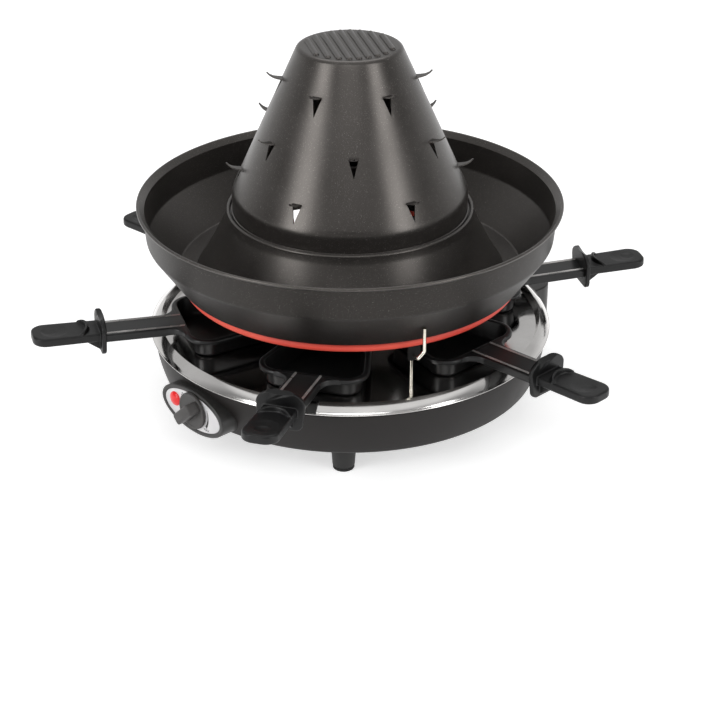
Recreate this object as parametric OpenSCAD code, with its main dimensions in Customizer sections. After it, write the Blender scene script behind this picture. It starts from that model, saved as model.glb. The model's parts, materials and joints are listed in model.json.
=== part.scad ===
/* [Tray] */
// Outer radius of the polished steel tray
tray_r = 150; // [148.5:0.1:153]
// Width of the crowned rim band
tray_rim_w = 8.6; // [7:0.1:10]
// Height of the rim's crest above the tray floor
tray_rim_h = 6; // [5:0.1:6.4]
// Crown of the rim band above its inner edge
tray_crown = 0.9; // [0.5:0.1:1.2]
// Width of the sloped wall between the floor and the rim
tray_wall_w = 8.4; // [6:0.1:10]
// Height of the turned-down outer lip
tray_lip_h = 5.5; // [4.5:0.1:6]
// Set-back of the hem below the lip
tray_hem_in = 1.1; // [1:0.1:1.6]
// Height of the hem below the lip
tray_hem_h = 1.5; // [1.2:0.1:1.7]
// Thickness of the tray's sheet
tray_t = 0.8; // [0.6:0.05:0.9]

/* [Base shell] */
// Height of the feet, floor to bottom plate
foot_h = 25; // [20:0.5:32]
// Radius of a foot where it meets the bottom plate
foot_top_r = 9.6; // [8.5:0.1:12]
// Radius of a foot at its rubber pad
foot_tip_r = 8; // [7:0.1:9]
// Height of the rubber pad that shows below a foot
pad_h = 2.4; // [1.5:0.1:4]
// Radius of the circle that the feet stand on
foot_ring_r = 114; // [108:0.5:117]
// Thickness of the bottom plate
plate_t = 1.2; // [0.8:0.1:2]
// Radius of the bottom plate
plate_r = 136; // [134:0.5:137]
// Height of the shell's outer wall
shell_h = 34; // [30:0.5:36]
// Shell radius at its top edge
shell_top_r = 147.4; // [146.5:0.1:147.8]
// Shell radius at its bottom edge
shell_bottom_r = 140; // [139:0.5:143]
// Outward bulge of the shell's wall
shell_bulge = 1.4; // [0:0.1:2]
// Rounding of the shell's bottom edge
shell_round = 4; // [3:0.5:6]
// Thickness of the shell's wall
shell_t = 2.2; // [1.6:0.1:2.6]
// Step from the shell's top edge up to the tray's underside
shell_step = 1.5; // [1.2:0.1:2.5]
// Inner radius of the ledge that carries the tray
ledge_r = 129; // [128.5:0.5:131]
// Inner radius of the shell's bottom lip
bottom_lip_r = 131; // [129:0.5:132]

/* [Heating element] */
// Radius of the element's ring, to the middle of its tube
element_r = 121.5; // [119:0.5:122]
// Radius of the element's tube
element_tube_r = 3.6; // [3:0.1:4]
// Height of the tube's middle above the tray floor
element_rise = 38.6; // [38:0.1:44]
// Direction of the element's two legs
element_leg_angle = 155; // [149:1:155]
// Half angle between the element's two legs
element_leg_spread = 6; // [5:0.5:7]
// Bend radius where the tube turns down
element_bend = 9; // [7:0.5:11]

/* [Wire supports] */
// Radius of the support wire
wire_r = 1.25; // [1:0.05:1.5]
// Directions of the three supports
support_angles = [338.4, 95.5, 214];
// Radius of the circle that the legs stand on
wire_leg_r = 112; // [109:0.5:114]
// Height of a leg above the tray floor
wire_leg_h = 23.5; // [21:0.5:26]
// Height of the arm's outer end above the tray floor
wire_arm_h = 33.9; // [31:0.1:35]
// Height of the post's foot above the tray floor
wire_post_low_h = 38.4; // [36:0.1:39]
// Height of the post's tip above the tray floor
wire_post_tip_h = 56.4; // [52:0.1:60]
// Sideways place of the leg
wire_leg_side = 3; // [1:0.1:4]
// Sideways place of the arm's outer end
wire_arm_side = -3.6; // [-5:0.1:-2]
// Sideways place of the post
wire_post_side = 1; // [0:0.1:2]

/* [Broth bowl] */
// Outer radius of the bowl's rim
bowl_rim_r = 155.5; // [153:0.5:160]
// Height of the bowl, from its bottom to the rim
bowl_h = 56.3; // [50:0.1:58]
// Height of the flared rim
bowl_rim_h = 4.4; // [3.5:0.1:6]
// Outer radius at the top of the wall, under the rim
bowl_wall_r = 151.4; // [149:0.1:151.5]
// Outer radius at the crease between the two bands
bowl_crease_r = 149.4; // [146:0.1:150]
// Height of the crease above the bottom
bowl_crease_h = 30.6; // [27:0.1:34]
// Outer radius of the bottom, at the corner
bowl_bottom_r = 128.2; // [126.5:0.1:130]
// Rounding of the bottom corner
bowl_round = 3.5; // [2.5:0.1:5]
// Radius where the inner dome leaves the bottom
dome_foot_r = 113; // [110:0.5:114]
// Radius of the dome's shoulder
dome_top_r = 90.5; // [90:0.1:93]
// Height of the dome's shoulder above the bottom
dome_h = 50; // [46:0.5:53]
// Inward sag of the dome's flank
dome_sag = 4; // [0:0.5:6]
// Depth of the seat inside the shoulder
seat_depth = 2.5; // [2:0.1:4]
// Width of the seat's ledge
seat_w = 8; // [6:0.5:12]
// Thickness of the bowl's sheet
bowl_t = 1.6; // [1.2:0.1:2]

/* [Hat] */
// Outer radius of the hat's skirt
hat_r = 86; // [83:0.1:86]
// Height of the skirt, to the sharp corner
hat_skirt_h = 15.3; // [12:0.1:18]
// Full height of the hat
hat_h = 123.2; // [112:0.1:135]
// Radius of the top plate, to the sharp corner
hat_top_r = 37; // [36:0.1:44]
// Rounding between the skirt and the cone
hat_round = 16; // [8:0.5:20]
// Rounding of the top edge
hat_top_round = 4.5; // [3:0.1:6]
// Width of the hem around the skirt's foot
hem_w = 0.9; // [0.6:0.1:1.2]
// Height of that hem
hem_h = 1.4; // [1:0.1:2]
// Thickness of the hat's sheet
hat_t = 1.2; // [0.8:0.1:1.6]
// Hooks around the hat in each row
hook_count = 6; // [4:1:8]
// Heights of the rows of hooks above the skirt's foot
hook_rows = [25.2, 56.7, 93];
// Turn of the middle row
hook_turn = 19.8; // [0:0.1:30]
// Width of a hook at its root
hook_w = 7.2; // [5:0.1:8]
// Length of the punched hole, along the slope
hook_hole_l = 14; // [11:0.1:15]
// Reach of a hook from the sheet
hook_reach = 12; // [9:0.1:13]
// Thickness of a hook
hook_t = 1.2; // [0.8:0.1:1.5]
// Ribs on the top plate
rib_count = 9; // [5:2:9]
// Distance from rib to rib
rib_pitch = 6.8; // [6:0.1:7]
// Width of a rib
rib_w = 4.4; // [3:0.1:5]
// Height of a rib
rib_h = 1.5; // [1:0.1:2]
// Direction of the ribs
rib_turn = 150; // [0:1:180]
// Plain border between the ribs' ends and the top edge
rib_border = 4.4; // [3:0.1:5]

/* [Pans] */
// Directions of the six pans
pan_angles = [1.5, 60.8, 124, 188, 244.7, 301.1];
// How far each pan is pulled out of its place at the axis
pan_pulls = [0.3, 6.4, 0, 4, 7.2, 1.3];
// Sideways place of each pan
pan_sides = [13.1, 12.7, 0, 0, -3.1, 5.5];
// Extra rise of each pan's stem, in degrees
pan_tips = [0, 0, 0, 0, 0, 3.5];
// Distance from the axis to the dish's inner end
pan_in_r = 48; // [48:0.5:51]
// Length of the dish
pan_l = 73; // [66:0.5:74]
// Half width of the dish at its inner end
pan_in_half = 23; // [18:0.5:23]
// Half width of the dish at its outer end
pan_out_half = 41; // [36:0.5:42]
// Rounding of the dish's inner corners
pan_in_round = 13; // [12:0.5:16]
// Rounding of the dish's outer corners
pan_out_round = 14; // [10:0.5:18]
// Depth of the dish
pan_depth = 15.5; // [11:0.1:18]
// Thickness of the dish's sheet
pan_t = 1.2; // [0.8:0.1:1.5]
// Width of the dish's flange
pan_flange_w = 2.8; // [2.4:0.1:3]
// Depth of the dish's turned-down edge
pan_skirt_h = 3.4; // [2.4:0.1:4]
// Slope of the dish's wall, as inset from rim to bottom
pan_draft = 2.6; // [1.5:0.1:3.5]
// Rounding of the dish's bottom edge
pan_edge = 3; // [2:0.1:4]
// Rounding of the neck between dish and stem
neck_round = 12; // [10:0.5:14]
// Length of the stem, from the dish to the handle's guard
stem_l = 62; // [52:0.5:64]
// Half width of the stem
stem_half = 12; // [11:0.1:12.4]
// Depth of the stem's side walls
stem_wall_h = 5.5; // [4:0.1:6]
// Height of the two beads along the stem
bead_h = 0.7; // [0.5:0.1:1]
// Width of those beads
bead_w = 1; // [0.8:0.1:1.4]
// Set-back of those beads from the stem's edges
bead_in = 3; // [2:0.1:4]
// Rise of the stem, in degrees
stem_rise = 2.4; // [0:0.1:4]
// Length of the tang inside the handle
tang_l = 20; // [19:0.5:21]
// Half width of the tang
tang_half = 6.5; // [5:0.1:8]
// Length of the handle, from guard to tip
handle_l = 48; // [46:0.5:56]
// Half width of the handle
handle_half = 13; // [12.4:0.1:14]
// Thickness of the handle
handle_t = 6.6; // [6:0.1:8]
// Height of the handle's top above the stem
handle_up = 1.8; // [1.6:0.1:2.4]
// Rounding of the handle's end
handle_round = 9; // [6:0.5:11]
// Half width of the guard
guard_half = 17.2; // [16:0.1:18]
// Height of the guard above the stem
guard_up = 13.5; // [12:0.1:16]
// Depth of the guard below the stem
guard_down = 14.5; // [12:0.1:17]
// Height of the guard's arch
guard_arch = 10; // [8:0.1:12]
// Half width of the guard at its foot, to the sharp corner
guard_foot_half = 15.4; // [13:0.1:16]
// Rounding of the guard's lower corners
guard_round = 5; // [3:0.1:6]
// Thickness of the guard
guard_t = 3.4; // [2.5:0.1:4]
// Height of the thumb lip above the handle
lip_h = 4; // [3:0.1:5]

/* [Control panel] */
// Distance from the axis to the front face of the panel
panel_reach = 153; // [152:0.5:156]
// Height of the panel's middle above the floor
panel_z = 40; // [40:0.1:42]
// Half width of the panel's housing
panel_a = 35; // [30.5:0.5:36]
// Half height of the panel's housing
panel_b = 17; // [16.5:0.1:18]
// Half width of the silver fascia
fascia_a = 30.8; // [26.5:0.1:31.5]
// Half height of the silver fascia
fascia_b = 13.6; // [13.6:0.1:15.2]
// Thickness of the fascia
fascia_t = 1; // [0.6:0.1:1.1]
// Set-back of the fascia from the housing's rim
fascia_sink = 0.4; // [0.2:0.1:0.8]
// Thickness of the housing's front wall
panel_wall = 2.4; // [1.8:0.1:2.8]
// Half width of the window in the shell
window_a = 27; // [26.5:0.1:27.5]
// Half height of the window in the shell
window_b = 12.6; // [12.4:0.1:13]
// Thickness of the spigot that stands in the window
spigot_t = 1.2; // [1:0.1:1.3]
// Depth of the spigot behind the panel's front wall
spigot_l = 12; // [10:0.5:13]
// Sideways place of the knob
knob_x = 2.4; // [1:0.1:4]
// Height of the knob above the panel's middle
knob_up = 1.8; // [-1:0.1:2]
// Radius of the knob's disc
knob_r = 13.7; // [11.5:0.1:14.2]
// Thickness of the knob's disc
knob_t = 2.2; // [1.8:0.1:4]
// Width of the knob's grip
grip_w = 8.6; // [7.5:0.1:9]
// Length of the knob's grip
grip_l = 21.8; // [17:0.1:22]
// Height of the knob's grip above its disc
grip_h = 8.6; // [5:0.1:9]
// Turn of the grip at rest, clockwise from upright
knob_turn = 47; // [-60:1:60]
// Radius of the thermostat's shaft
shaft_r = 3; // [2.6:0.1:3.2]
// Radius of the thermostat
thermostat_r = 9; // [8.4:0.1:9.2]
// Depth of the thermostat
thermostat_l = 14; // [12:0.5:15]
// Sideways place of the lamp
lamp_x = -19; // [-19.2:0.1:-17]
// Height of the lamp above the panel's middle
lamp_up = 2.5; // [0:0.1:2.8]
// Radius of the lamp's lens
lamp_r = 5.4; // [4:0.1:5.6]

/* [Rear housing] */
// Half width of the rear housing
rear_half = 56; // [54:0.5:60]
// Distance from the axis to the rear housing's back
rear_reach = 171; // [166:0.5:176]
// Rounding of the rear housing's corners
rear_round = 16; // [10:0.5:18]
// Lowest point of the rear housing
rear_low_z = 28; // [27:0.1:30]
// Height of the rear housing
rear_h = 28; // [25:0.1:29]
// Thickness of the rear housing's wall
rear_t = 2; // [1.5:0.1:2.5]
// Radius of the lead's hole in the gland
gland_hole_r = 3.7; // [3:0.1:4.5]
// Radius of the gland's neck
gland_r = 5.6; // [5:0.1:6.4]

/* [Fits] */
// Gap between a loose piece and its seat
seat_gap = 0.2; // [0.15:0.05:0.3]
// Gap around a piece that is fixed in a hole
fit_gap = 0.1; // [0.05:0.05:0.15]
// Radial clearance of the turning shaft
run_gap = 0.05; // [0.03:0.01:0.08]
// Gap between the bowl's wall and a wire post
post_gap = 0.5; // [0.4:0.1:1]
// Radial play of the hat's hem inside the bowl's seat
hat_play = 0.7; // [0.5:0.1:1]

/* [Hidden] */
$fn = 96;

// Heights of the stack, from the floor up
plate_z = foot_h;
shell_z0 = plate_z + plate_t;
shell_z1 = shell_z0 + shell_h;
tray_under_z = shell_z1 + shell_step;
tray_z = tray_under_z + tray_t;
tray_top_z = tray_z + tray_rim_h;
tray_lip_z = tray_top_z - tray_lip_h;
element_z = tray_z + element_rise;
bowl_z = element_z + element_tube_r + seat_gap;
seat_z = bowl_z + dome_h - seat_depth;
hat_z = seat_z + seat_gap;
pan_z = tray_z + seat_gap;

// Past a face, so that a cut goes right through
cut = 1;

// Feet and tie screws
foot_count = 4;
foot_turn = 45;
screw_r = 2;
screw_head_r = 3.8;
screw_head_h = 2.6;
pad_plug_h = 4;
pad_plug_r = 5.4;
sleeve_r = 4;
nut_h = 3.2;
nut_r = 4;
weld_flange_r = 6;
weld_flange_h = 0.8;
screw_seat_z = pad_h + pad_plug_h;
tray_nut_z = tray_under_z - weld_flange_h - nut_h;

// Shell and bottom plate
shell_steps = 6;
round_steps = 5;
ledge_in = 1.5;
ledge_out_r = shell_top_r - ledge_in;
vent_count = 12;
vent_l = 40;
vent_w = 4;
vent_r = 70;

// Tray
rim_in_r = tray_r - tray_rim_w;
floor_r = rim_in_r - tray_wall_w;
groove = 0.6;

// Element legs and supports
element_leg_r = norm([element_r, element_bend]);
element_open = element_leg_spread + atan2(element_bend, element_r);
element_steps = 80;
element_sides = 14;
leg_drop = 6;
leg_end_z = tray_under_z - leg_drop;
pin_r = 1.5;
pin_l = 7;
bushing_neck_r = 4.6;
bushing_flange_r = 6.4;
bushing_flange_h = 1.6;
clip_half = 4.5;
clip_t = 2;
clip_hang = 3;
support_nut_h = 3;
support_nut_r = 3.4;
thread_l = 5;
wire_sides = 10;
wire_bend = 3;
bend_points = 4;
post_tip_z = tray_z + wire_post_tip_h;
post_r = band_r(post_tip_z) + wire_r + post_gap;

// Bowl and hat
dome_steps = 7;
rim_round = 1.2;
rim_t = 2.4;
seat_r = hat_r + hem_w + hat_play;
hat_slope = atan2(hat_r - hat_top_r, hat_h - hat_skirt_h);
hat_round_steps = 6;
hook_root = 1;
hook_tip_half = 0.5;
hook_shares = [0.2, 0.5, 0.8, 1];
hook_lifts = [-0.3, 0, 1.4, 3.4];
hook_cut = 3 * hat_t;

// Panel pieces
ellipse_points = 56;
panel_depth = 14;
panel_front = panel_reach - fascia_sink;
panel_face = panel_front - fascia_t;
panel_back = panel_face - panel_wall;
panel_lip_h = 2;
panel_lip_in = 1.2;
knob_z = panel_z + knob_up;
knob_gap = 0.8;
knob_back = panel_front + knob_gap;
knob_bore_l = 6;
knob_edge = 0.8;
grip_round = 1;
shaft_flat = 0.8;
shaft_stop = 2;
lamp_z = panel_z + lamp_up;
lamp_stem_r = 3.2;
lamp_stem_l = 3;
lamp_rim_h = 1;
lamp_dome_h = 1.6;
lamp_body_r = 4.1;
lamp_body_l = 13;
small_screw_r = 1.4;
small_head_r = 2.3;
small_head_h = 1.2;
small_screw_pitch = 6.4;
small_screw_l = 5;

// Rear housing pieces
rear_mid_z = rear_low_z + rear_h / 2;
rear_in_y = 130;
rear_window_half = 38;
rear_window_h = 16;
rear_screw_x = 47;
rear_head_y = 131;
rear_screw_l = 22;
rear_boss_r = 4;
rear_boss_gap = 5;
block_half = 17;
block_w = 10;
block_gap = 4.5;
block_h = 12;
gland_lip_w = 1.6;
gland_lip_h = 2.5;
block_y = rear_reach - rear_t - gland_lip_h - block_gap - block_w;

// Inner wires
lead_r = 1.3;
lead_in = 14;
lead_ring_r = shell_bottom_r - lead_in;
lead_sides = 8;
lead_turn = 12;
lead_run = 12;
lead_side = 4;
lead_lift = 7;
lead_low_z = rear_low_z + rear_t + lead_lift;
lead_rear_turn = 15;
lead_front_turn = 14;

// Pan details
pan_corner_steps = 5;
pan_out_r = pan_in_r + pan_l;
pan_rim_t = 1.2;
pan_rim_round = 0.6;
edge_side = 0.7;
edge_lift = 0.3;
stem_t = 0.9;
stem_wall_t = 1;
stem_overlap = 1.6;
stem_z = pan_depth - pan_rim_t / 2;
handle_low = handle_up - handle_t;
pan_screw_x = 16;
pan_screw_r = 1.5;
pan_head_r = 2.8;
pan_head_h = 1.6;
pan_screw_over = 0.2;
thumb_sphere_r = 60;
thumb_sink = 1.6;
thumb_x = 32;
dimple_sphere_r = 18;
dimple_sink = 1;
dimple_x = 35;
lip_x = 22.4;
lip_r = 15;
lip_t = 1.8;
lip_end = 9;
gusset_l = 14;
gusset_half = 9;
gusset_rise = 2;
gusset_sink = 1;
handle_taper = 1;

// Direction and length helpers
function dir(a) = [cos(a), sin(a)];
function unit(v) = v / norm(v);
function left(v) = [-v[1], v[0]];
function at(r, a, z) = [r * cos(a), r * sin(a), z];

// Arc of n steps about c
function arc(c, r, a0, a1, n) = [for (i = [0:n]) c + r * dir(a0 + (a1 - a0) * i / n)];

// Outline of an ellipse
function ellipse(a, b) = [
    for (i = [0:ellipse_points - 1])
        let (turn = 360 * i / ellipse_points)
        [a * cos(turn), b * sin(turn)]
];

// Rounded corner at p between the straight runs from a and to b
function corner(a, p, b, r, n) =
    let (
        u = unit(a - p),
        v = unit(b - p),
        half = acos(u * v) / 2,
        c = p + unit(u + v) * r / sin(half),
        from = p + u * r / tan(half) - c,
        to = p + v * r / tan(half) - c,
        start = atan2(from[1], from[0]),
        turn = (atan2(to[1], to[0]) - start + 540) % 360 - 180
    ) arc(c, r, start, start + turn, n);

// Rounded rectangle
function rounded(x0, y0, x1, y1, r, n) = concat(
    arc([x1 - r, y1 - r], r, 0, 90, n),
    arc([x0 + r, y1 - r], r, 90, 180, n),
    arc([x0 + r, y0 + r], r, 180, 270, n),
    arc([x1 - r, y0 + r], r, 270, 360, n)
);

// Point beside a path, at distance t on its left
function beside(pts, i, t) =
    let (
        last = len(pts) - 1,
        a = left(unit(i == 0 ? pts[1] - pts[0] : pts[i] - pts[i - 1])),
        b = left(unit(i == last ? pts[i] - pts[i - 1] : pts[i + 1] - pts[i])),
        m = unit(a + b)
    ) pts[i] + m * t / (m * a);

// Closed outline of a sheet that follows a path, with its thickness on the path's left
function sheet(pts, t) = concat(pts, [for (i = [len(pts) - 1:-1:0]) beside(pts, i, t)]);

// Rounded trapezoid of a dish, inset by d
function dish_outline(d) =
    let (
        tilt = atan2(pan_out_half - pan_in_half, pan_l),
        half = function (x) pan_in_half + (x - pan_in_r) * tan(tilt) - d / cos(tilt),
        r_in = pan_in_round - d,
        r_out = pan_out_round - d,
        x_in = pan_in_r + d + r_in,
        x_out = pan_out_r - d - r_out,
        c_in = [x_in, half(x_in) - r_in / cos(tilt)],
        c_out = [x_out, half(x_out) - r_out / cos(tilt)],
        upper = concat(
            arc(c_out, r_out, 0, 90 + tilt, pan_corner_steps),
            arc(c_in, r_in, 90 + tilt, 180, pan_corner_steps)
        )
    ) concat(upper, [for (i = [len(upper) - 1:-1:0]) [upper[i][0], -upper[i][1]]]);

// Ring of a dish at inset d and height z
function dish_ring(d, z) = [for (p = dish_outline(d)) [p[0], p[1], z]];

// Points of a bent wire: each inner corner becomes a short curve
function bent(pts, r) = [
    for (i = [0:len(pts) - 1])
        if (i == 0 || i == len(pts) - 1) pts[i]
        else
            let (
                p = pts[i],
                to_last = pts[i - 1] - p,
                to_next = pts[i + 1] - p,
                a = p + unit(to_last) * min(r, norm(to_last) * 0.45),
                b = p + unit(to_next) * min(r, norm(to_next) * 0.45)
            )
            each [
                for (k = [0:bend_points])
                    let (s = k / bend_points)
                    a * (1 - s) * (1 - s) + p * 2 * s * (1 - s) + b * s * s
            ]
];

// Direction of a wire at a point
function heading(pts, i) = unit(
    (i == 0 ? [0, 0, 0] : unit(pts[i] - pts[i - 1]))
    + (i == len(pts) - 1 ? [0, 0, 0] : unit(pts[i + 1] - pts[i]))
);

// Side direction at each point of a wire, turned as little as each step needs
function square_to(d, v) = unit(v - d * (v * d));
function sides_along(pts, start) = [
    for (
        i = 0, v = square_to(heading(pts, 0), start);
        i < len(pts);
        i = i + 1, v = i < len(pts) ? square_to(heading(pts, i), v) : v
    ) v
];

// Shell radius and height at share s of its wall
function shell_radius(s) =
    shell_bottom_r + (shell_top_r - shell_bottom_r) * s + 4 * shell_bulge * s * (1 - s);
function shell_height(s) = shell_z0 + shell_h * s;

// Outer face of the shell, from its bottom lip to its top edge
function shell_wall() =
    let (wall = [for (i = [1:shell_steps]) [shell_radius(i / shell_steps), shell_height(i / shell_steps)]])
    concat(
        [[bottom_lip_r, shell_z0]],
        corner([bottom_lip_r, shell_z0], [shell_bottom_r, shell_z0], wall[0], shell_round, round_steps),
        wall
    );

// Radius of the bowl's lower band at a height
function band_r(z) = bowl_bottom_r + (bowl_crease_r - bowl_bottom_r) * (z - bowl_z) / bowl_crease_h;

// Radius and height of the hat's cone above its skirt's foot
function cone_r(h) = hat_r - (h - hat_skirt_h) * tan(hat_slope);

// Points of a support's wire, with X pointing away from the axis
function wire_path() = [
    [wire_leg_r, wire_leg_side, tray_under_z - thread_l],
    [wire_leg_r, wire_leg_side, tray_z + wire_leg_h],
    [post_r, wire_arm_side, tray_z + wire_arm_h],
    [post_r, wire_post_side, tray_z + wire_post_low_h],
    [post_r, wire_post_side, post_tip_z]
];

// Solid through rings of equal point counts, closed at both ends
module loft(rings) {
    n = len(rings[0]);
    last = (len(rings) - 1) * n;
    walls = [
        for (j = [0:len(rings) - 2])
            for (i = [0:n - 1])
                let (a = j * n + i, b = j * n + (i + 1) % n)
                each [[a, a + n, b + n], [a, b + n, b]]
    ];
    polyhedron(
        [for (ring = rings) each ring],
        concat(walls, [[for (i = [0:n - 1]) i]], [[for (i = [n - 1:-1:0]) last + i]])
    );
}

// Round wire along points
module tube(pts, r, sides, start) {
    across = sides_along(pts, start);
    loft([
        for (i = [0:len(pts) - 1])
            let (u = across[i], v = cross(heading(pts, i), u))
            [
                for (k = [0:sides - 1])
                    let (turn = 360 * k / sides)
                    pts[i] + r * (v * cos(turn) + u * sin(turn))
            ]
    ]);
}

// Prism along -Y of an outline in X and Z
module outward(from, to) {
    rotate([90, 0, 0])
        translate([0, 0, from])
            linear_extrude(to - from)
                children();
}

// Round bar along -Y
module outward_bar(x, z, r, from, to) {
    translate([x, 0, z])
        rotate([90, 0, 0])
            translate([0, 0, from])
                cylinder(r = r, h = to - from);
}

module around_feet() {
    for (k = [0:foot_count - 1])
        rotate(foot_turn + 360 / foot_count * k)
            translate([foot_ring_r, 0, 0])
                children();
}

module at_legs() {
    for (side = [-1, 1])
        rotate(element_leg_angle + side * element_leg_spread)
            translate([element_leg_r, 0, 0])
                children();
}

// Space inside the shell's outer face, for the pieces that lie against it
module shell_space() {
    rotate_extrude()
        polygon(concat(
            [[0, shell_z0 - fit_gap]],
            [for (p = shell_wall()) p + [fit_gap, p[1] > shell_z0 + shell_round ? 0 : -fit_gap]],
            [[shell_top_r + fit_gap, shell_z1 + fit_gap], [ledge_out_r + fit_gap, shell_z1 + fit_gap]],
            [[ledge_out_r + fit_gap, tray_top_z], [0, tray_top_z]]
        ));
}

// Space under the tray's rim, for the pieces that lie against it
module tray_space() {
    low = tray_lip_z - tray_hem_h - fit_gap;
    translate([0, 0, low])
        cylinder(r = tray_r + fit_gap, h = tray_top_z - low);
}

// Space of the bottom plate, for the pieces that lie against it
module plate_space() {
    translate([0, 0, plate_z - fit_gap])
        cylinder(r = plate_r + fit_gap, h = plate_t + 2 * fit_gap);
}

module body_shell() {
    path = concat(shell_wall(), [
        [ledge_out_r, shell_z1],
        [ledge_out_r, tray_under_z],
        [ledge_r, tray_under_z]
    ]);
    color([0.16, 0.16, 0.16])
        difference() {
            rotate_extrude()
                polygon(sheet(path, shell_t));
            translate([0, 0, panel_z])
                outward(panel_back - spigot_l - cut, panel_reach)
                    polygon(ellipse(window_a, window_b));
            translate([-rear_window_half, rear_in_y, rear_mid_z - rear_window_h / 2])
                cube([2 * rear_window_half, rear_reach - rear_in_y, rear_window_h]);
            for (side = [-1, 1])
                outward_bar(side * rear_screw_x, rear_mid_z, screw_r + fit_gap, -rear_reach, -rear_in_y);
        }
}

module bottom_plate() {
    color([0.2, 0.2, 0.2])
        difference() {
            translate([0, 0, plate_z])
                cylinder(r = plate_r, h = plate_t);
            around_feet()
                translate([0, 0, plate_z - cut])
                    cylinder(r = screw_r + fit_gap, h = plate_t + 2 * cut);
            for (k = [0:vent_count - 1])
                rotate(360 / vent_count * k)
                    translate([vent_r - vent_l / 2, -vent_w / 2, plate_z - cut])
                        cube([vent_l, vent_w, plate_t + 2 * cut]);
        }
}

module foot(k) {
    color([0.1, 0.1, 0.1])
        rotate(foot_turn + 360 / foot_count * (k - 1))
            translate([foot_ring_r, 0, 0])
                difference() {
                    translate([0, 0, pad_h])
                        cylinder(r1 = foot_tip_r, r2 = foot_top_r, h = foot_h - pad_h);
                    cylinder(r = pad_plug_r, h = screw_seat_z);
                    cylinder(r = screw_head_r + fit_gap, h = screw_seat_z + screw_head_h);
                    cylinder(r = screw_r + fit_gap, h = foot_h + cut);
                }
}

module foot_pads() {
    color([0.06, 0.06, 0.06])
        around_feet() {
            cylinder(r = foot_tip_r, h = pad_h);
            cylinder(r = pad_plug_r - fit_gap, h = screw_seat_z);
        }
}

module tie_screws() {
    color([0.6, 0.6, 0.62])
        around_feet()
            translate([0, 0, screw_seat_z]) {
                cylinder(r = screw_head_r, h = screw_head_h);
                cylinder(r = screw_r, h = tray_under_z - fit_gap - screw_seat_z);
            }
}

module spacer_sleeves() {
    color([0.66, 0.66, 0.68])
        around_feet()
            difference() {
                translate([0, 0, shell_z0])
                    cylinder(r = sleeve_r, h = tray_nut_z - shell_z0);
                translate([0, 0, shell_z0 - cut])
                    cylinder(r = screw_r + fit_gap, h = tray_nut_z - shell_z0 + 2 * cut);
            }
}

module tray_nuts() {
    color([0.6, 0.6, 0.62])
        around_feet()
            translate([0, 0, tray_nut_z])
                difference() {
                    union() {
                        cylinder(r = nut_r, h = nut_h, $fn = 6);
                        translate([0, 0, nut_h])
                            cylinder(r = weld_flange_r, h = weld_flange_h);
                    }
                    translate([0, 0, -cut])
                        cylinder(r = screw_r + fit_gap, h = nut_h + weld_flange_h + 2 * cut);
                }
}

module steel_tray() {
    edge_z = tray_top_z - tray_crown;
    half = tray_rim_w / 2;
    crown_r = (half * half + tray_crown * tray_crown) / (2 * tray_crown);
    spread = asin(half / crown_r);
    lip_edge = [tray_r, tray_lip_z];
    band = arc([rim_in_r + half, tray_top_z - crown_r], crown_r, 90 + spread, 90, round_steps);
    path = concat(
        [[0, tray_z], [floor_r, tray_z], [rim_in_r - groove, edge_z - groove]],
        band,
        corner(band[round_steps], [tray_r, tray_top_z - groove], lip_edge, 2 * groove, round_steps),
        [lip_edge, lip_edge - [tray_hem_in, 0], lip_edge - [tray_hem_in, tray_hem_h]]
    );
    color([0.86, 0.86, 0.87])
        difference() {
            rotate_extrude()
                polygon(sheet(path, -tray_t));
            for (a = support_angles)
                rotate(a)
                    translate([wire_leg_r, wire_leg_side, tray_under_z - cut])
                        cylinder(r = wire_r + fit_gap, h = tray_t + 2 * cut);
            at_legs()
                translate([0, 0, tray_under_z - cut])
                    cylinder(r = bushing_neck_r + fit_gap, h = tray_t + 2 * cut);
        }
}

// Point of the bend between the ring and a leg, turned by phi from the ring
function element_elbow(side, phi) =
    let (a = element_leg_angle + side * element_open)
    at(element_r, a, element_z - element_bend)
    + element_bend * [side * sin(phi) * sin(a), -side * sin(phi) * cos(a), cos(phi)];

module heating_element() {
    elbow = [for (i = [1:bend_points]) 90 * i / bend_points];
    turn = 360 - 2 * element_open;
    ring = [
        for (i = [0:element_steps])
            at(element_r, element_leg_angle + element_open + turn * i / element_steps, element_z)
    ];
    leg = function (side) at(element_leg_r, element_leg_angle + side * element_leg_spread, leg_end_z);
    color([0.8, 0.24, 0.18])
        tube(concat(
            [leg(1)],
            [for (i = [bend_points - 1:-1:0]) element_elbow(1, elbow[i])],
            ring,
            [for (phi = elbow) element_elbow(-1, phi)],
            [leg(-1)]
        ), element_tube_r, element_sides, at(1, element_leg_angle, 0));
}

module element_bushings() {
    color([0.85, 0.83, 0.78])
        at_legs()
            difference() {
                union() {
                    translate([0, 0, tray_z])
                        cylinder(r = bushing_flange_r, h = bushing_flange_h);
                    translate([0, 0, leg_end_z])
                        cylinder(r = bushing_neck_r, h = tray_z - leg_end_z);
                }
                translate([0, 0, leg_end_z - cut])
                    cylinder(
                        r = element_tube_r + fit_gap,
                        h = tray_z + bushing_flange_h - leg_end_z + 2 * cut
                    );
            }
}

module element_pins() {
    color([0.7, 0.7, 0.72])
        at_legs()
            translate([0, 0, leg_end_z - pin_l])
                cylinder(r = pin_r, h = pin_l);
}

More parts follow.
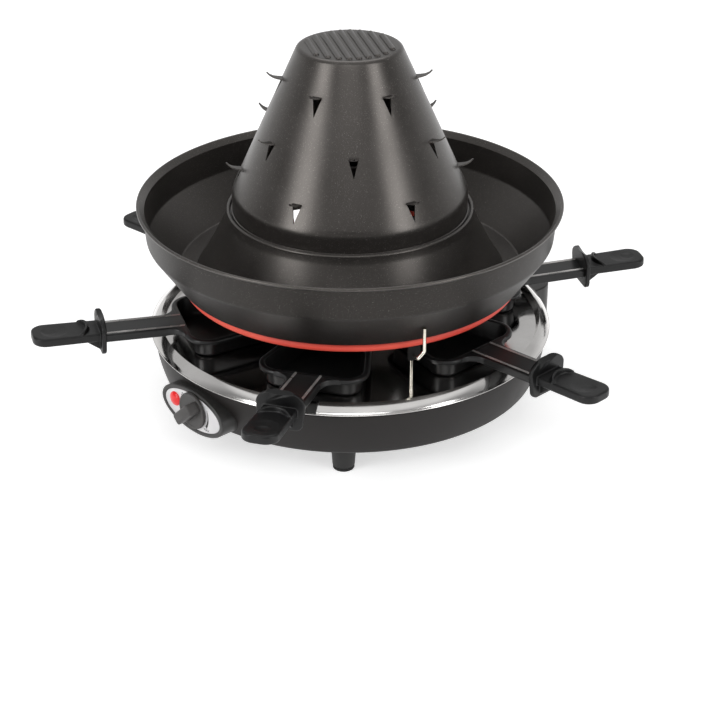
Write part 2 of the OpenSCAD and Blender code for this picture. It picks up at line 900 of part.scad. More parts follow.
module element_clips() {
    path = wire_path();
    along = path[2] - path[1];
    share = (element_r - wire_leg_r) / along[0];
    wire_at = path[1] + along * share;
    low = wire_at[2] - clip_hang;
    color([0.5, 0.5, 0.52])
        for (a = support_angles)
            rotate(a)
                difference() {
                    translate([element_r - clip_t / 2, wire_at[1] - clip_half, low])
                        cube([clip_t, 2 * clip_half, element_z - element_tube_r - fit_gap - low]);
                    translate(wire_at)
                        rotate([0, acos(along[2] / norm(along)), atan2(along[1], along[0])])
                            translate([0, 0, -clip_half])
                                cylinder(r = wire_r + fit_gap, h = 2 * clip_half);
                }
}

module wire_support(k) {
    color([0.8, 0.8, 0.8])
        rotate(support_angles[k - 1])
            tube(bent(wire_path(), wire_bend), wire_r, wire_sides, [0, 1, 0]);
}

module support_nuts() {
    color([0.6, 0.6, 0.62])
        for (a = support_angles)
            rotate(a)
                translate([wire_leg_r, wire_leg_side, tray_under_z - support_nut_h])
                    difference() {
                        cylinder(r = support_nut_r, h = support_nut_h, $fn = 6);
                        translate([0, 0, -cut])
                            cylinder(r = wire_r + fit_gap, h = support_nut_h + 2 * cut);
                    }
}

module control_housing() {
    spigot_from = panel_back - spigot_l;
    spigot_a = window_a - fit_gap;
    spigot_b = window_b - fit_gap;
    color([0.12, 0.12, 0.12])
        difference() {
            union() {
                difference() {
                    translate([0, 0, panel_z]) {
                        outward(panel_reach - panel_depth, panel_reach - panel_lip_h)
                            polygon(ellipse(panel_a, panel_b));
                        outward(panel_reach - panel_lip_h, panel_reach)
                            polygon(ellipse(panel_a - panel_lip_in, panel_b - panel_lip_in));
                    }
                    shell_space();
                    tray_space();
                    plate_space();
                }
                translate([0, 0, panel_z])
                    outward(spigot_from, panel_face)
                        polygon(ellipse(spigot_a, spigot_b));
            }
            translate([0, 0, panel_z]) {
                outward(spigot_from - cut, panel_back)
                    polygon(ellipse(spigot_a - spigot_t, spigot_b - spigot_t));
                outward(panel_face, panel_reach + cut)
                    polygon(ellipse(fascia_a + fit_gap, fascia_b + fit_gap));
            }
            panel_holes();
        }
}

// Holes through the fascia and the housing's front wall
module panel_holes() {
    outward_bar(lamp_x, lamp_z, lamp_stem_r + fit_gap, panel_back - cut, panel_reach);
    outward_bar(knob_x, knob_z, shaft_r + 2 * fit_gap, panel_back - cut, panel_reach);
    for (side = [-1, 1]) {
        z = knob_z + side * small_screw_pitch;
        outward_bar(knob_x, z, small_screw_r + fit_gap, panel_back - cut, panel_reach);
        outward_bar(knob_x, z, small_head_r + fit_gap, panel_front - small_head_h, panel_reach);
    }
}

module fascia_plate() {
    color([0.8, 0.8, 0.81])
        difference() {
            translate([0, 0, panel_z])
                outward(panel_face, panel_front)
                    polygon(ellipse(fascia_a, fascia_b));
            panel_holes();
        }
}

module lamp_lens() {
    dome_r = (lamp_r * lamp_r + lamp_dome_h * lamp_dome_h) / (2 * lamp_dome_h);
    rim = panel_front + lamp_rim_h;
    edge_turn = 90 - asin(lamp_r / dome_r);
    color([0.85, 0.08, 0.06])
        translate([lamp_x, 0, lamp_z])
            rotate([90, 0, 0])
                rotate_extrude()
                    polygon(concat(
                        [
                            [0, panel_back - lamp_stem_l],
                            [lamp_stem_r, panel_back - lamp_stem_l],
                            [lamp_stem_r, panel_front],
                            [lamp_r, panel_front]
                        ],
                        arc([0, rim + lamp_dome_h - dome_r], dome_r, edge_turn, 90, round_steps)
                    ));
}

module lamp_body() {
    color([0.75, 0.75, 0.7])
        difference() {
            outward_bar(lamp_x, lamp_z, lamp_body_r, panel_back - lamp_body_l, panel_back);
            outward_bar(
                lamp_x, lamp_z, lamp_stem_r + fit_gap,
                panel_back - lamp_stem_l - fit_gap, panel_back + cut
            );
        }
}

module thermostat() {
    color([0.55, 0.5, 0.42])
        difference() {
            outward_bar(knob_x, knob_z, thermostat_r, panel_back - thermostat_l, panel_back);
            outward_bar(
                knob_x, knob_z, shaft_r + run_gap,
                panel_back - thermostat_l + shaft_stop, panel_back + cut
            );
            for (side = [-1, 1])
                outward_bar(
                    knob_x, knob_z + side * small_screw_pitch, small_screw_r + fit_gap,
                    panel_back - small_screw_l - fit_gap, panel_back + cut
                );
        }
}

module thermostat_screws() {
    color([0.65, 0.65, 0.67])
        for (side = [-1, 1]) {
            z = knob_z + side * small_screw_pitch;
            outward_bar(knob_x, z, small_screw_r, panel_back - small_screw_l, panel_front - fit_gap);
            outward_bar(knob_x, z, small_head_r, panel_front - small_head_h, panel_front);
        }
}

// Grip of the knob, a bar across its disc
module grip_outline() {
    polygon(rounded(-grip_w / 2, -grip_l / 2, grip_w / 2, grip_l / 2, grip_round, round_steps));
}

// Space of the flatted shaft, grown by a gap
module shaft_space(gap, from, to) {
    difference() {
        outward_bar(knob_x, knob_z, shaft_r + gap, from, to);
        translate([knob_x - shaft_r - cut, -to - cut, knob_z + shaft_r - shaft_flat + gap])
            cube([2 * (shaft_r + cut), to - max(from, knob_back) + cut, shaft_r]);
    }
}

module knob() {
    front = knob_back + knob_t;
    color([0.1, 0.1, 0.1])
        difference() {
            union() {
                outward_bar(knob_x, knob_z, knob_r, knob_back, front - knob_edge);
                outward_bar(knob_x, knob_z, knob_r - knob_edge, front - knob_edge, front);
                translate([knob_x, 0, knob_z])
                    rotate([0, knob_turn, 0])
                        outward(front - cut, front + grip_h)
                            grip_outline();
            }
            shaft_space(fit_gap, knob_back - cut, knob_back + knob_bore_l);
        }
}

module knob_shaft() {
    color([0.7, 0.7, 0.72])
        shaft_space(0, panel_back - thermostat_l + shaft_stop + run_gap, knob_back + knob_bore_l - fit_gap);
}

module rear_outline(inset) {
    polygon(rounded(
        inset - rear_half, rear_in_y - 2 * rear_round, rear_half - inset, rear_reach - inset,
        rear_round - inset, round_steps
    ));
}

module rear_housing() {
    color([0.12, 0.12, 0.12])
        difference() {
            union() {
                translate([0, 0, rear_low_z])
                    linear_extrude(rear_t)
                        rear_outline(0);
                translate([0, 0, rear_low_z + rear_h - rear_t])
                    linear_extrude(rear_t)
                        rear_outline(0);
                translate([0, 0, rear_low_z])
                    linear_extrude(rear_h)
                        difference() {
                            rear_outline(0);
                            rear_outline(rear_t);
                        }
                for (side = [-1, 1])
                    outward_bar(
                        side * rear_screw_x, rear_mid_z, rear_boss_r,
                        rear_t + rear_boss_gap - rear_reach, -rear_in_y
                    );
            }
            shell_space();
            for (side = [-1, 1])
                outward_bar(
                    side * rear_screw_x, rear_mid_z, screw_r + fit_gap,
                    -rear_head_y - rear_screw_l - fit_gap, -rear_in_y
                );
            outward_bar(0, rear_mid_z, gland_r + fit_gap, -rear_reach - cut, -rear_reach + rear_t + cut);
        }
}

module rear_screws() {
    color([0.6, 0.6, 0.62])
        for (side = [-1, 1]) {
            outward_bar(
                side * rear_screw_x, rear_mid_z, screw_r,
                -rear_head_y - rear_screw_l, -rear_head_y
            );
            outward_bar(
                side * rear_screw_x, rear_mid_z, screw_head_r,
                -rear_head_y, screw_head_h - rear_head_y
            );
        }
}

module cord_gland() {
    lip_r = gland_r + gland_lip_w;
    color([0.08, 0.08, 0.08])
        difference() {
            union() {
                outward_bar(0, rear_mid_z, gland_r, -rear_reach, -rear_reach + rear_t);
                outward_bar(0, rear_mid_z, lip_r, -rear_reach - gland_lip_h, -rear_reach);
                outward_bar(0, rear_mid_z, lip_r, -rear_reach + rear_t, -rear_reach + rear_t + gland_lip_h);
            }
            outward_bar(
                0, rear_mid_z, gland_hole_r,
                -rear_reach - gland_lip_h - cut, -rear_reach + rear_t + gland_lip_h + cut
            );
        }
}

module terminal_block() {
    color([0.85, 0.84, 0.8])
        translate([-block_half, block_y, rear_low_z + rear_t])
            cube([2 * block_half, block_w, block_h]);
}

// Arc of a lead around the inside of the shell, from one height to another
function lead_arc(a0, a1, z0, z1) =
    let (n = ceil(abs(a1 - a0) / lead_turn))
    [for (i = [0:n]) at(lead_ring_r, a0 + (a1 - a0) * i / n, z0 + (z1 - z0) * i / n)];

module inner_wires() {
    pin_low = leg_end_z - pin_l - fit_gap;
    block_face = block_y - fit_gap;
    back_face = panel_back - thermostat_l - fit_gap;
    pin_a = element_leg_angle - element_leg_spread;
    pin_b = element_leg_angle + element_leg_spread;
    color([0.75, 0.72, 0.6]) {
        tube(concat(
            [[-2 * lead_side, block_face, lead_low_z]],
            [[-2 * lead_side, block_face - 2 * lead_run, lead_low_z]],
            lead_arc(90 + lead_rear_turn, pin_a - lead_turn, lead_low_z, lead_low_z),
            [at(element_leg_r, pin_a, lead_low_z + lead_r), at(element_leg_r, pin_a, pin_low)]
        ), lead_r, lead_sides, [0, 0, 1]);
        tube(concat(
            [at(element_leg_r, pin_b, pin_low), at(element_leg_r, pin_b, lead_low_z + lead_r)],
            lead_arc(pin_b + lead_turn, 270 - lead_front_turn, lead_low_z, knob_z),
            [[knob_x - lead_side, lead_run - back_face, knob_z], [knob_x - lead_side, -back_face, knob_z]]
        ), lead_r, lead_sides, [1, 0, 0]);
        tube(concat(
            [[knob_x + lead_side, -back_face, knob_z], [knob_x + lead_side, lead_run - back_face, knob_z]],
            lead_arc(270 + lead_front_turn, 450 - lead_rear_turn, knob_z, lead_low_z),
            [[2 * lead_side, block_face - 2 * lead_run, lead_low_z], [2 * lead_side, block_face, lead_low_z]]
        ), lead_r, lead_sides, [0, 0, 1]);
    }
}

// Frame of a pan's stem: X along the stem from the dish, Z square to its plate
module stem_frame(k) {
    translate([pan_out_r, 0, stem_z])
        rotate([0, -stem_rise - pan_tips[k - 1], 0])
            children();
}

module on_pan(k) {
    rotate(pan_angles[k - 1])
        translate([pan_pulls[k - 1], pan_sides[k - 1], pan_z])
            children();
}

// Outline of the neck and the stem's plate
function stem_outline() =
    let (
        start = pan_flange_w - stem_overlap,
        foot = pan_flange_w + neck_round,
        upper = concat(
            [[start, stem_half + neck_round]],
            arc([foot, stem_half + neck_round], neck_round, 180, 270, pan_corner_steps),
            [[stem_l, stem_half], [stem_l, tang_half], [stem_l + tang_l, tang_half]]
        )
    ) concat(upper, [for (i = [len(upper) - 1:-1:0]) [upper[i][0], -upper[i][1]]]);

module pan(k) {
    low = pan_draft + pan_edge;
    color([0.07, 0.07, 0.07])
        on_pan(k)
            difference() {
                union() {
                    loft([
                        dish_ring(low, 0),
                        dish_ring(low - pan_edge * edge_side, pan_edge * edge_lift),
                        dish_ring(low - pan_edge, pan_edge),
                        dish_ring(pan_t, pan_depth - pan_rim_t),
                        dish_ring(pan_rim_t - pan_flange_w, pan_depth - pan_rim_t),
                        dish_ring(pan_rim_t - pan_flange_w, pan_depth - pan_skirt_h),
                        dish_ring(-pan_flange_w, pan_depth - pan_skirt_h),
                        dish_ring(-pan_flange_w, pan_depth - pan_rim_round),
                        dish_ring(pan_rim_round - pan_flange_w, pan_depth),
                        dish_ring(pan_t / 2, pan_depth),
                        dish_ring(2 * pan_t, pan_depth - pan_rim_t),
                        dish_ring(low - pan_edge + pan_t, pan_edge + pan_t),
                        dish_ring(low - pan_edge * edge_side + pan_t, pan_edge * edge_lift + pan_t),
                        dish_ring(low + pan_t, pan_t)
                    ]);
                    stem_frame(k)
                        stem();
                }
                stem_frame(k)
                    translate([stem_l + pan_screw_x, 0, -stem_t])
                        cylinder(r = pan_screw_r + fit_gap, h = 2 * stem_t);
            }
}

// Stem as a channel, with two beads along its plate
module stem() {
    wall_from = pan_flange_w + neck_round;
    wall_l = stem_l - wall_from;
    translate([0, 0, -stem_t / 2])
        linear_extrude(stem_t)
            polygon(stem_outline());
    for (side = [-1, 1]) {
        translate([wall_from, side * (stem_half - stem_wall_t / 2) - stem_wall_t / 2, -stem_wall_h])
            cube([wall_l, stem_wall_t, stem_wall_h]);
        translate([pan_flange_w, side * (stem_half - bead_in) - bead_w / 2, 0])
            cube([stem_l - pan_flange_w, bead_w, stem_t / 2 + bead_h]);
    }
}

// Outline of the handle seen from above
function handle_outline() =
    let (upper = concat(
        arc([handle_l - handle_round, handle_half - handle_round], handle_round, 0, 90, pan_corner_steps),
        [[-guard_t / 2, handle_half - handle_taper]]
    )) concat(upper, [for (i = [len(upper) - 1:-1:0]) [upper[i][0], -upper[i][1]]]);

// Outline of the guard seen along the stem
function guard_outline() =
    let (
        shoulder = guard_up - guard_arch,
        side = [guard_half, shoulder],
        foot = [guard_foot_half, -guard_down],
        steps = 4 * pan_corner_steps,
        arch = [
            for (i = [0:steps])
                let (turn = 180 * i / steps)
                [guard_half * cos(turn), shoulder + guard_arch * sin(turn)]
        ],
        low = corner(side, foot, [0, -guard_down], guard_round, pan_corner_steps)
    ) concat(arch, [for (p = low) [-p[0], p[1]]], [for (i = [len(low) - 1:-1:0]) low[i]]);

module pan_handle(k) {
    color([0.09, 0.09, 0.09])
        on_pan(k)
            stem_frame(k)
                translate([stem_l, 0, 0])
                    difference() {
                        union() {
                            translate([0, 0, handle_low])
                                linear_extrude(handle_t)
                                    polygon(handle_outline());
                            translate([-guard_t, 0, 0])
                                rotate([90, 0, 90])
                                    linear_extrude(guard_t)
                                        polygon(guard_outline());
                            thumb_lip();
                            gusset();
                        }
                        translate([thumb_x, 0, handle_up + thumb_sphere_r - thumb_sink])
                            sphere(r = thumb_sphere_r);
                        translate([dimple_x, 0, handle_up + dimple_sphere_r - thumb_sink - dimple_sink])
                            sphere(r = dimple_sphere_r);
                        tang_slot();
                        translate([pan_screw_x, 0, handle_low - cut])
                            cylinder(r = pan_head_r + fit_gap, h = pan_head_h + cut);
                        translate([pan_screw_x, 0, handle_low])
                            cylinder(
                                r = pan_screw_r + fit_gap,
                                h = pan_screw_over + stem_t - handle_low + fit_gap
                            );
                    }
}

// Slot for the stem's end and its tang
module tang_slot() {
    thick = stem_t / 2 + fit_gap;
    translate([-guard_t - cut, -tang_half - fit_gap, -thick])
        cube([guard_t + cut + tang_l + fit_gap, 2 * (tang_half + fit_gap), 2 * thick]);
    translate([-guard_t - cut, -stem_half - fit_gap, -stem_wall_h - fit_gap])
        cube([guard_t + cut + fit_gap, 2 * (stem_half + fit_gap), stem_wall_h + thick + bead_h + fit_gap]);
}

// Raised lip around the guard's end of the thumb rest
module thumb_lip() {
    translate([lip_x, 0, 0])
        difference() {
            translate([0, 0, handle_low / 2])
                cylinder(r = lip_r, h = handle_up + lip_h - handle_low / 2);
            translate([0, 0, handle_up - thumb_sink - cut])
                cylinder(r = lip_r - lip_t, h = lip_h + thumb_sink + 2 * cut);
            translate([-lip_end, -lip_r - cut, handle_low])
                cube([2 * lip_r, 2 * (lip_r + cut), handle_t + lip_h + cut]);
        }
}

// Web below the handle, behind the guard
module gusset() {
    translate([0, gusset_half, 0])
        rotate([90, 0, 0])
            linear_extrude(2 * gusset_half)
                polygon([
                    [-guard_t / 2, handle_low + gusset_sink],
                    [-guard_t / 2, gusset_rise - guard_down],
                    [0, gusset_rise - guard_down],
                    [gusset_l, handle_low + gusset_sink]
                ]);
}

module pan_screw(k) {
    color([0.7, 0.7, 0.72])
        on_pan(k)
            stem_frame(k)
                translate([stem_l + pan_screw_x, 0, handle_low]) {
                    cylinder(r = pan_head_r, h = pan_head_h);
                    cylinder(r = pan_screw_r, h = pan_screw_over + stem_t - handle_low);
                }
}

module broth_bowl() {
    rim_z = bowl_z + bowl_h;
    ridge_half = (dome_top_r - seat_r) / 2;
    wall_top = [bowl_wall_r, rim_z - bowl_rim_h];
    crease = [bowl_crease_r, bowl_z + bowl_crease_h];
    bottom = [bowl_bottom_r, bowl_z];
    dome_foot = [dome_foot_r, bowl_z];
    dome_top = [dome_top_r - bowl_t, seat_z - bowl_t];
    flank = [
        for (i = [0:dome_steps])
            let (s = i / dome_steps)
            dome_foot + (dome_top - dome_foot) * s - [4 * dome_sag * s * (1 - s), 0]
    ];
    outer = concat(
        [wall_top, crease],
        corner(crease, bottom, dome_foot, bowl_round, round_steps),
        flank,
        [[seat_r - seat_w, seat_z - bowl_t]]
    );
    ridge = concat(
        [[seat_r - seat_w, seat_z], [seat_r, seat_z]],
        arc([seat_r + ridge_half, bowl_z + dome_h - ridge_half], ridge_half, 180, 0, round_steps)
    );
    rim = concat(
        [[bowl_wall_r - bowl_t, rim_z - rim_round], [bowl_wall_r, rim_z]],
        arc([bowl_rim_r - rim_round, rim_z - rim_round], rim_round, 90, -90, 2 * round_steps)
    );
    color([0.17, 0.17, 0.17])
        rotate_extrude()
            polygon(concat(
                outer,
                ridge,
                [for (i = [len(outer) - 3:-1:0]) beside(outer, i, -bowl_t)],
                rim
            ));
}

module grill_hat() {
    top_z = hat_z + hat_h;
    foot = [hat_r, hat_z];
    shoulder = [hat_r, hat_z + hat_skirt_h];
    top_edge = [hat_top_r, top_z];
    middle = [0, top_z];
    path = concat(
        [foot],
        corner(foot, shoulder, top_edge, hat_round, hat_round_steps),
        corner(shoulder, top_edge, middle, hat_top_round, hat_round_steps),
        [middle]
    );
    color([0.2, 0.2, 0.2])
        difference() {
            union() {
                rotate_extrude() {
                    polygon(sheet(path, hat_t));
                    translate([hat_r - hat_t, hat_z])
                        square([hat_t + hem_w, hem_h]);
                }
                at_hooks()
                    hook();
                top_ribs();
            }
            at_hooks()
                hook_hole();
        }
}

// Frame of each hook: X out of the sheet, Z up the slope, origin at the hole's middle
module at_hooks() {
    for (row = [0:len(hook_rows) - 1])
        for (k = [0:hook_count - 1])
            rotate(hook_turn + (k + (row % 2 == 0 ? 0.5 : 0)) * 360 / hook_count)
                translate([cone_r(hook_rows[row]), 0, hat_z + hook_rows[row]])
                    rotate([0, -hat_slope, 0])
                        children();
}

module hook_hole() {
    half = hook_hole_l / 2;
    translate([-hook_cut, 0, 0])
        rotate([90, 0, 90])
            linear_extrude(2 * hook_cut)
                polygon([[-hook_w / 2, half], [0, -half], [hook_w / 2, half]]);
}

// Tongue bent out of the hole's top edge, with its tip turned up
module hook() {
    root = hook_hole_l / 2;
    path = concat(
        [[-hook_root, root]],
        [for (i = [0:len(hook_lifts) - 1]) [hook_shares[i] * hook_reach, root + hook_lifts[i]]]
    );
    intersection() {
        translate([0, hook_w, 0])
            rotate([90, 0, 0])
                linear_extrude(2 * hook_w)
                    polygon(sheet(path, hook_t));
        linear_extrude(2 * hook_hole_l)
            polygon([
                [-hook_root, hook_w / 2],
                [-hook_root, -hook_w / 2],
                [hook_reach, -hook_tip_half],
                [hook_reach, hook_tip_half]
            ]);
    }
}

// Parallel ribs on the top plate, ending on one circle
module top_ribs() {
    reach = hat_top_r - rib_border;
    rotate(rib_turn)
        translate([0, 0, hat_z + hat_h - hat_t / 2])
            for (i = [0:rib_count - 1]) {
                y = (i - (rib_count - 1) / 2) * rib_pitch;
                half = sqrt(max(reach * reach - y * y, rib_w * rib_w));
                rib(y, half, rib_w, rib_h / 2);
                rib(y, half - rib_w / 6, rib_w * 2 / 3, rib_h);
            }
}

module rib(y, half, width, height) {
    linear_extrude(height + hat_t / 2) {
        translate([-half + width / 2, y - width / 2])
            square([2 * half - width, width]);
        for (side = [-1, 1])
            translate([side * (half - width / 2), y])
                circle(r = width / 2);
    }
}

body_shell();
bottom_plate();
for (k = [1:foot_count]) foot(k);
foot_pads();
tie_screws();
spacer_sleeves();
tray_nuts();
steel_tray();
heating_element();
element_bushings();
element_pins();
element_clips();
for (k = [1:len(support_angles)]) wire_support(k);
support_nuts();
control_housing();
fascia_plate();
lamp_lens();
lamp_body();
thermostat();
thermostat_screws();
rear_housing();
rear_screws();
cord_gland();
terminal_block();
inner_wires();
knob();
knob_shaft();
for (k = [1:len(pan_angles)]) pan(k);
for (k = [1:len(pan_angles)]) pan_handle(k);
for (k = [1:len(pan_angles)]) pan_screw(k);
broth_bowl();
grill_hat();
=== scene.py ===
"""Dressed model of a round raclette grill with a broth bowl and a hooked grill hat."""
import json
import logging
import math
from collections.abc import Sequence
from dataclasses import dataclass
from enum import Enum

import bmesh
import bpy
from mathutils import Matrix, Vector


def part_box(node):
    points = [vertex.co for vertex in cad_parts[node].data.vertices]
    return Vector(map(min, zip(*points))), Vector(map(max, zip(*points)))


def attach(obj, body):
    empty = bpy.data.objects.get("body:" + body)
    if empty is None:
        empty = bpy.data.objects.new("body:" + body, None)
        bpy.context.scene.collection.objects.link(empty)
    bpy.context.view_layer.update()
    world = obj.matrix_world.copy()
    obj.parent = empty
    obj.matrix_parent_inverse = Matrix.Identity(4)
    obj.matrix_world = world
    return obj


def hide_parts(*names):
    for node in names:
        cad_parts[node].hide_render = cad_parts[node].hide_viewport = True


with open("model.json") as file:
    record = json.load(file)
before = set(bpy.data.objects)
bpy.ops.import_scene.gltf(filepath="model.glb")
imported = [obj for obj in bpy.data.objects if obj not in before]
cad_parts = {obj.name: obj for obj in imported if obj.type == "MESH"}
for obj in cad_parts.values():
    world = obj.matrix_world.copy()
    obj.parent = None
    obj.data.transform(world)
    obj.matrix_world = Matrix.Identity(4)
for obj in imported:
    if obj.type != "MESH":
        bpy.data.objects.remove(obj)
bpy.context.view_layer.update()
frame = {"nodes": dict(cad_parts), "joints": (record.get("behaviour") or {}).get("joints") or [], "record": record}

LOG = logging.getLogger("raclette_grill")

# Sizes in this script are millimetres, and meshes are metres
MM = 0.001
LATHE_STEPS = 192
ROUND_STEPS = 6
SHARP_ANGLE = math.radians(34)
AXIS_R = 1e-6
# Shares of a straight run that a rounding or a wire's bend may take, and the least spread of a path's corner
ROUND_SHARE = 0.48
BEND_SHARE = 0.45
LEAST_SPREAD = 0.3

Flat = tuple[float, float]
Corner = tuple[float, float, float]
Point = Sequence[float]


def srgb(red: float, green: float, blue: float) -> tuple[float, float, float, float]:
    """Gives the linear colour of a display colour.

    Args:
        red, green, blue: Display values from 0 to 255.

    Returns:
        Linear red, green, blue and a full alpha.
    """
    def linear(value: float) -> float:
        """Undoes the display curve of one channel."""
        share = value / 255
        return share / 12.92 if share <= 0.04045 else ((share + 0.055) / 1.055) ** 2.4

    return linear(red), linear(green), linear(blue), 1.0


# Outlines and paths


def rounded_path(corners: Sequence[Corner], closed: bool = False, steps: int = ROUND_STEPS) -> list[Flat]:
    """Rounds the corners of a flat path.

    Args:
        corners: Place and rounding radius of each corner.
        closed: Whether the last corner joins the first.
        steps: Chords in each rounding.

    Returns:
        The points of the rounded path.
    """
    count = len(corners)
    path: list[Flat] = []
    for i, (x, y, radius) in enumerate(corners):
        if radius <= 0 or (not closed and i in (0, count - 1)):
            path.append((x, y))
            continue
        here = Vector((x, y))
        back = Vector(corners[i - 1][:2]) - here
        ahead = Vector(corners[(i + 1) % count][:2]) - here
        half = back.angle(ahead) / 2
        reach = min(radius / math.tan(half), back.length * ROUND_SHARE, ahead.length * ROUND_SHARE)
        used = reach * math.tan(half)
        centre = here + (back.normalized() + ahead.normalized()).normalized() * used / math.sin(half)
        first = here + back.normalized() * reach - centre
        last = here + ahead.normalized() * reach - centre
        start = math.atan2(first.y, first.x)
        turn = (math.atan2(last.y, last.x) - start + 3 * math.pi) % (2 * math.pi) - math.pi
        ways = [start + turn * k / steps for k in range(steps + 1)]
        path += [(centre.x + used * math.cos(way), centre.y + used * math.sin(way)) for way in ways]
    return path


def beside(path: Sequence[Flat], gap: float) -> list[Flat]:
    """Gives the path that runs beside another one.

    Args:
        path: Points of the path.
        gap: Distance on its left, or on its right if negative.

    Returns:
        One point for each point of the path.
    """
    moved = []
    for i, place in enumerate(path):
        here = Vector(place)
        back = here - Vector(path[i - 1]) if i else Vector(path[1]) - here
        ahead = Vector(path[i + 1]) - here if i < len(path) - 1 else back
        normals = [Vector((-run.y, run.x)).normalized() for run in (back, ahead)]
        middle = (normals[0] + normals[1]).normalized()
        spot = here + middle * gap / max(middle.dot(normals[0]), LEAST_SPREAD)
        moved.append((spot.x, spot.y))
    return moved


def ellipse(half_width: float, half_height: float, points: int = 96) -> list[Flat]:
    """Gives the outline of an ellipse."""
    turns = [2 * math.pi * i / points for i in range(points)]
    return [(half_width * math.cos(turn), half_height * math.sin(turn)) for turn in turns]


def arc(centre: Flat, radius: float, first: float, last: float, steps: int) -> list[Flat]:
    """Gives the points of an arc between two directions in degrees."""
    turns = [math.radians(first + (last - first) * i / steps) for i in range(steps + 1)]
    return [(centre[0] + radius * math.cos(turn), centre[1] + radius * math.sin(turn)) for turn in turns]


def upright(outline: Sequence[Flat], y: float, z: float = 0.0) -> list[Point]:
    """Stands a flat outline up in X and Z, at a depth and about a height."""
    return [(x, y, z + up) for x, up in outline]


def level(outline: Sequence[Flat], z: float) -> list[Point]:
    """Lays a flat outline in X and Y at a height."""
    return [(x, y, z) for x, y in outline]


def polar(radius: float, turn: float, height: float) -> Vector:
    """Gives a point from its distance to the axis, its direction in degrees and its height."""
    return Vector((radius * math.cos(math.radians(turn)), radius * math.sin(math.radians(turn)), height))


def facing_front(x: float, y: float, z: float) -> Matrix:
    """Gives the place of a turned piece whose axis points out of the front."""
    return Matrix.Translation((x, y, z)) @ Matrix.Rotation(math.radians(90), 4, "X")


def bent(path: Sequence[Vector], radius: float, steps: int = 8) -> list[Vector]:
    """Turns each inner corner of a wire's path into a short curve.

    Args:
        path: Ends and corners of the wire.
        radius: Reach of a bend along its straight runs.
        steps: Chords in each bend.

    Returns:
        The points of the bent wire.
    """
    points = [path[0]]
    for before, here, after in zip(path, path[1:], path[2:]):
        runs = [before - here, after - here]
        ends = [here + run.normalized() * min(radius, run.length * BEND_SHARE) for run in runs]
        for k in range(steps + 1):
            s = k / steps
            points.append(ends[0] * (1 - s) ** 2 + here * 2 * s * (1 - s) + ends[1] * s * s)
    return points + [path[-1]]


# Meshes


def put(name: str, data: bpy.types.ID) -> bpy.types.Object:
    """Puts a mesh, a curve, a light or a camera into the scene, at the origin.

    Args:
        name: Name of the object.
        data: What the object shows.

    Returns:
        The object.
    """
    thing = bpy.data.objects.new(name, data)
    bpy.context.scene.collection.objects.link(thing)
    return thing


def face_outwards(mesh: bpy.types.Mesh) -> None:
    """Turns the faces of a closed mesh outwards.

    Args:
        mesh: The mesh to change.
    """
    grid = bmesh.new()
    grid.from_mesh(mesh)
    bmesh.ops.recalc_face_normals(grid, faces=grid.faces)
    grid.to_mesh(mesh)
    grid.free()


def soften(mesh: bpy.types.Mesh, sharp: float = SHARP_ANGLE) -> None:
    """Shades a mesh smooth, apart from its sharp edges.

    Args:
        mesh: The mesh to shade.
        sharp: Angle between faces from which an edge stays sharp.
    """
    grid = bmesh.new()
    grid.from_mesh(mesh)
    for face in grid.faces:
        face.smooth = True
    for edge in grid.edges:
        edge.smooth = len(edge.link_faces) == 2 and edge.calc_face_angle(0) < sharp
    grid.to_mesh(mesh)
    grid.free()


def settle(piece: bpy.types.Object) -> None:
    """Turns a piece with modifiers into a plain mesh.

    Args:
        piece: The piece to change.
    """
    graph = bpy.context.evaluated_depsgraph_get()
    mesh = bpy.data.meshes.new_from_object(piece.evaluated_get(graph))
    drawn = piece.data
    piece.modifiers.clear()
    piece.data = mesh
    bpy.data.meshes.remove(drawn)
    mesh.name = piece.name


def carve(piece: bpy.types.Object, cutter: bpy.types.Object) -> None:
    """Takes a cutter's volume away from a piece and discards the cutter.

    Args:
        piece: The piece to change.
        cutter: The volume to take away.
    """
    cut = piece.modifiers.new("cut", "BOOLEAN")
    cut.operation = "DIFFERENCE"
    cut.solver = "EXACT"
    cut.material_mode = "TRANSFER"
    cut.object = cutter
    settle(piece)
    bpy.data.objects.remove(cutter)
    soften(piece.data)


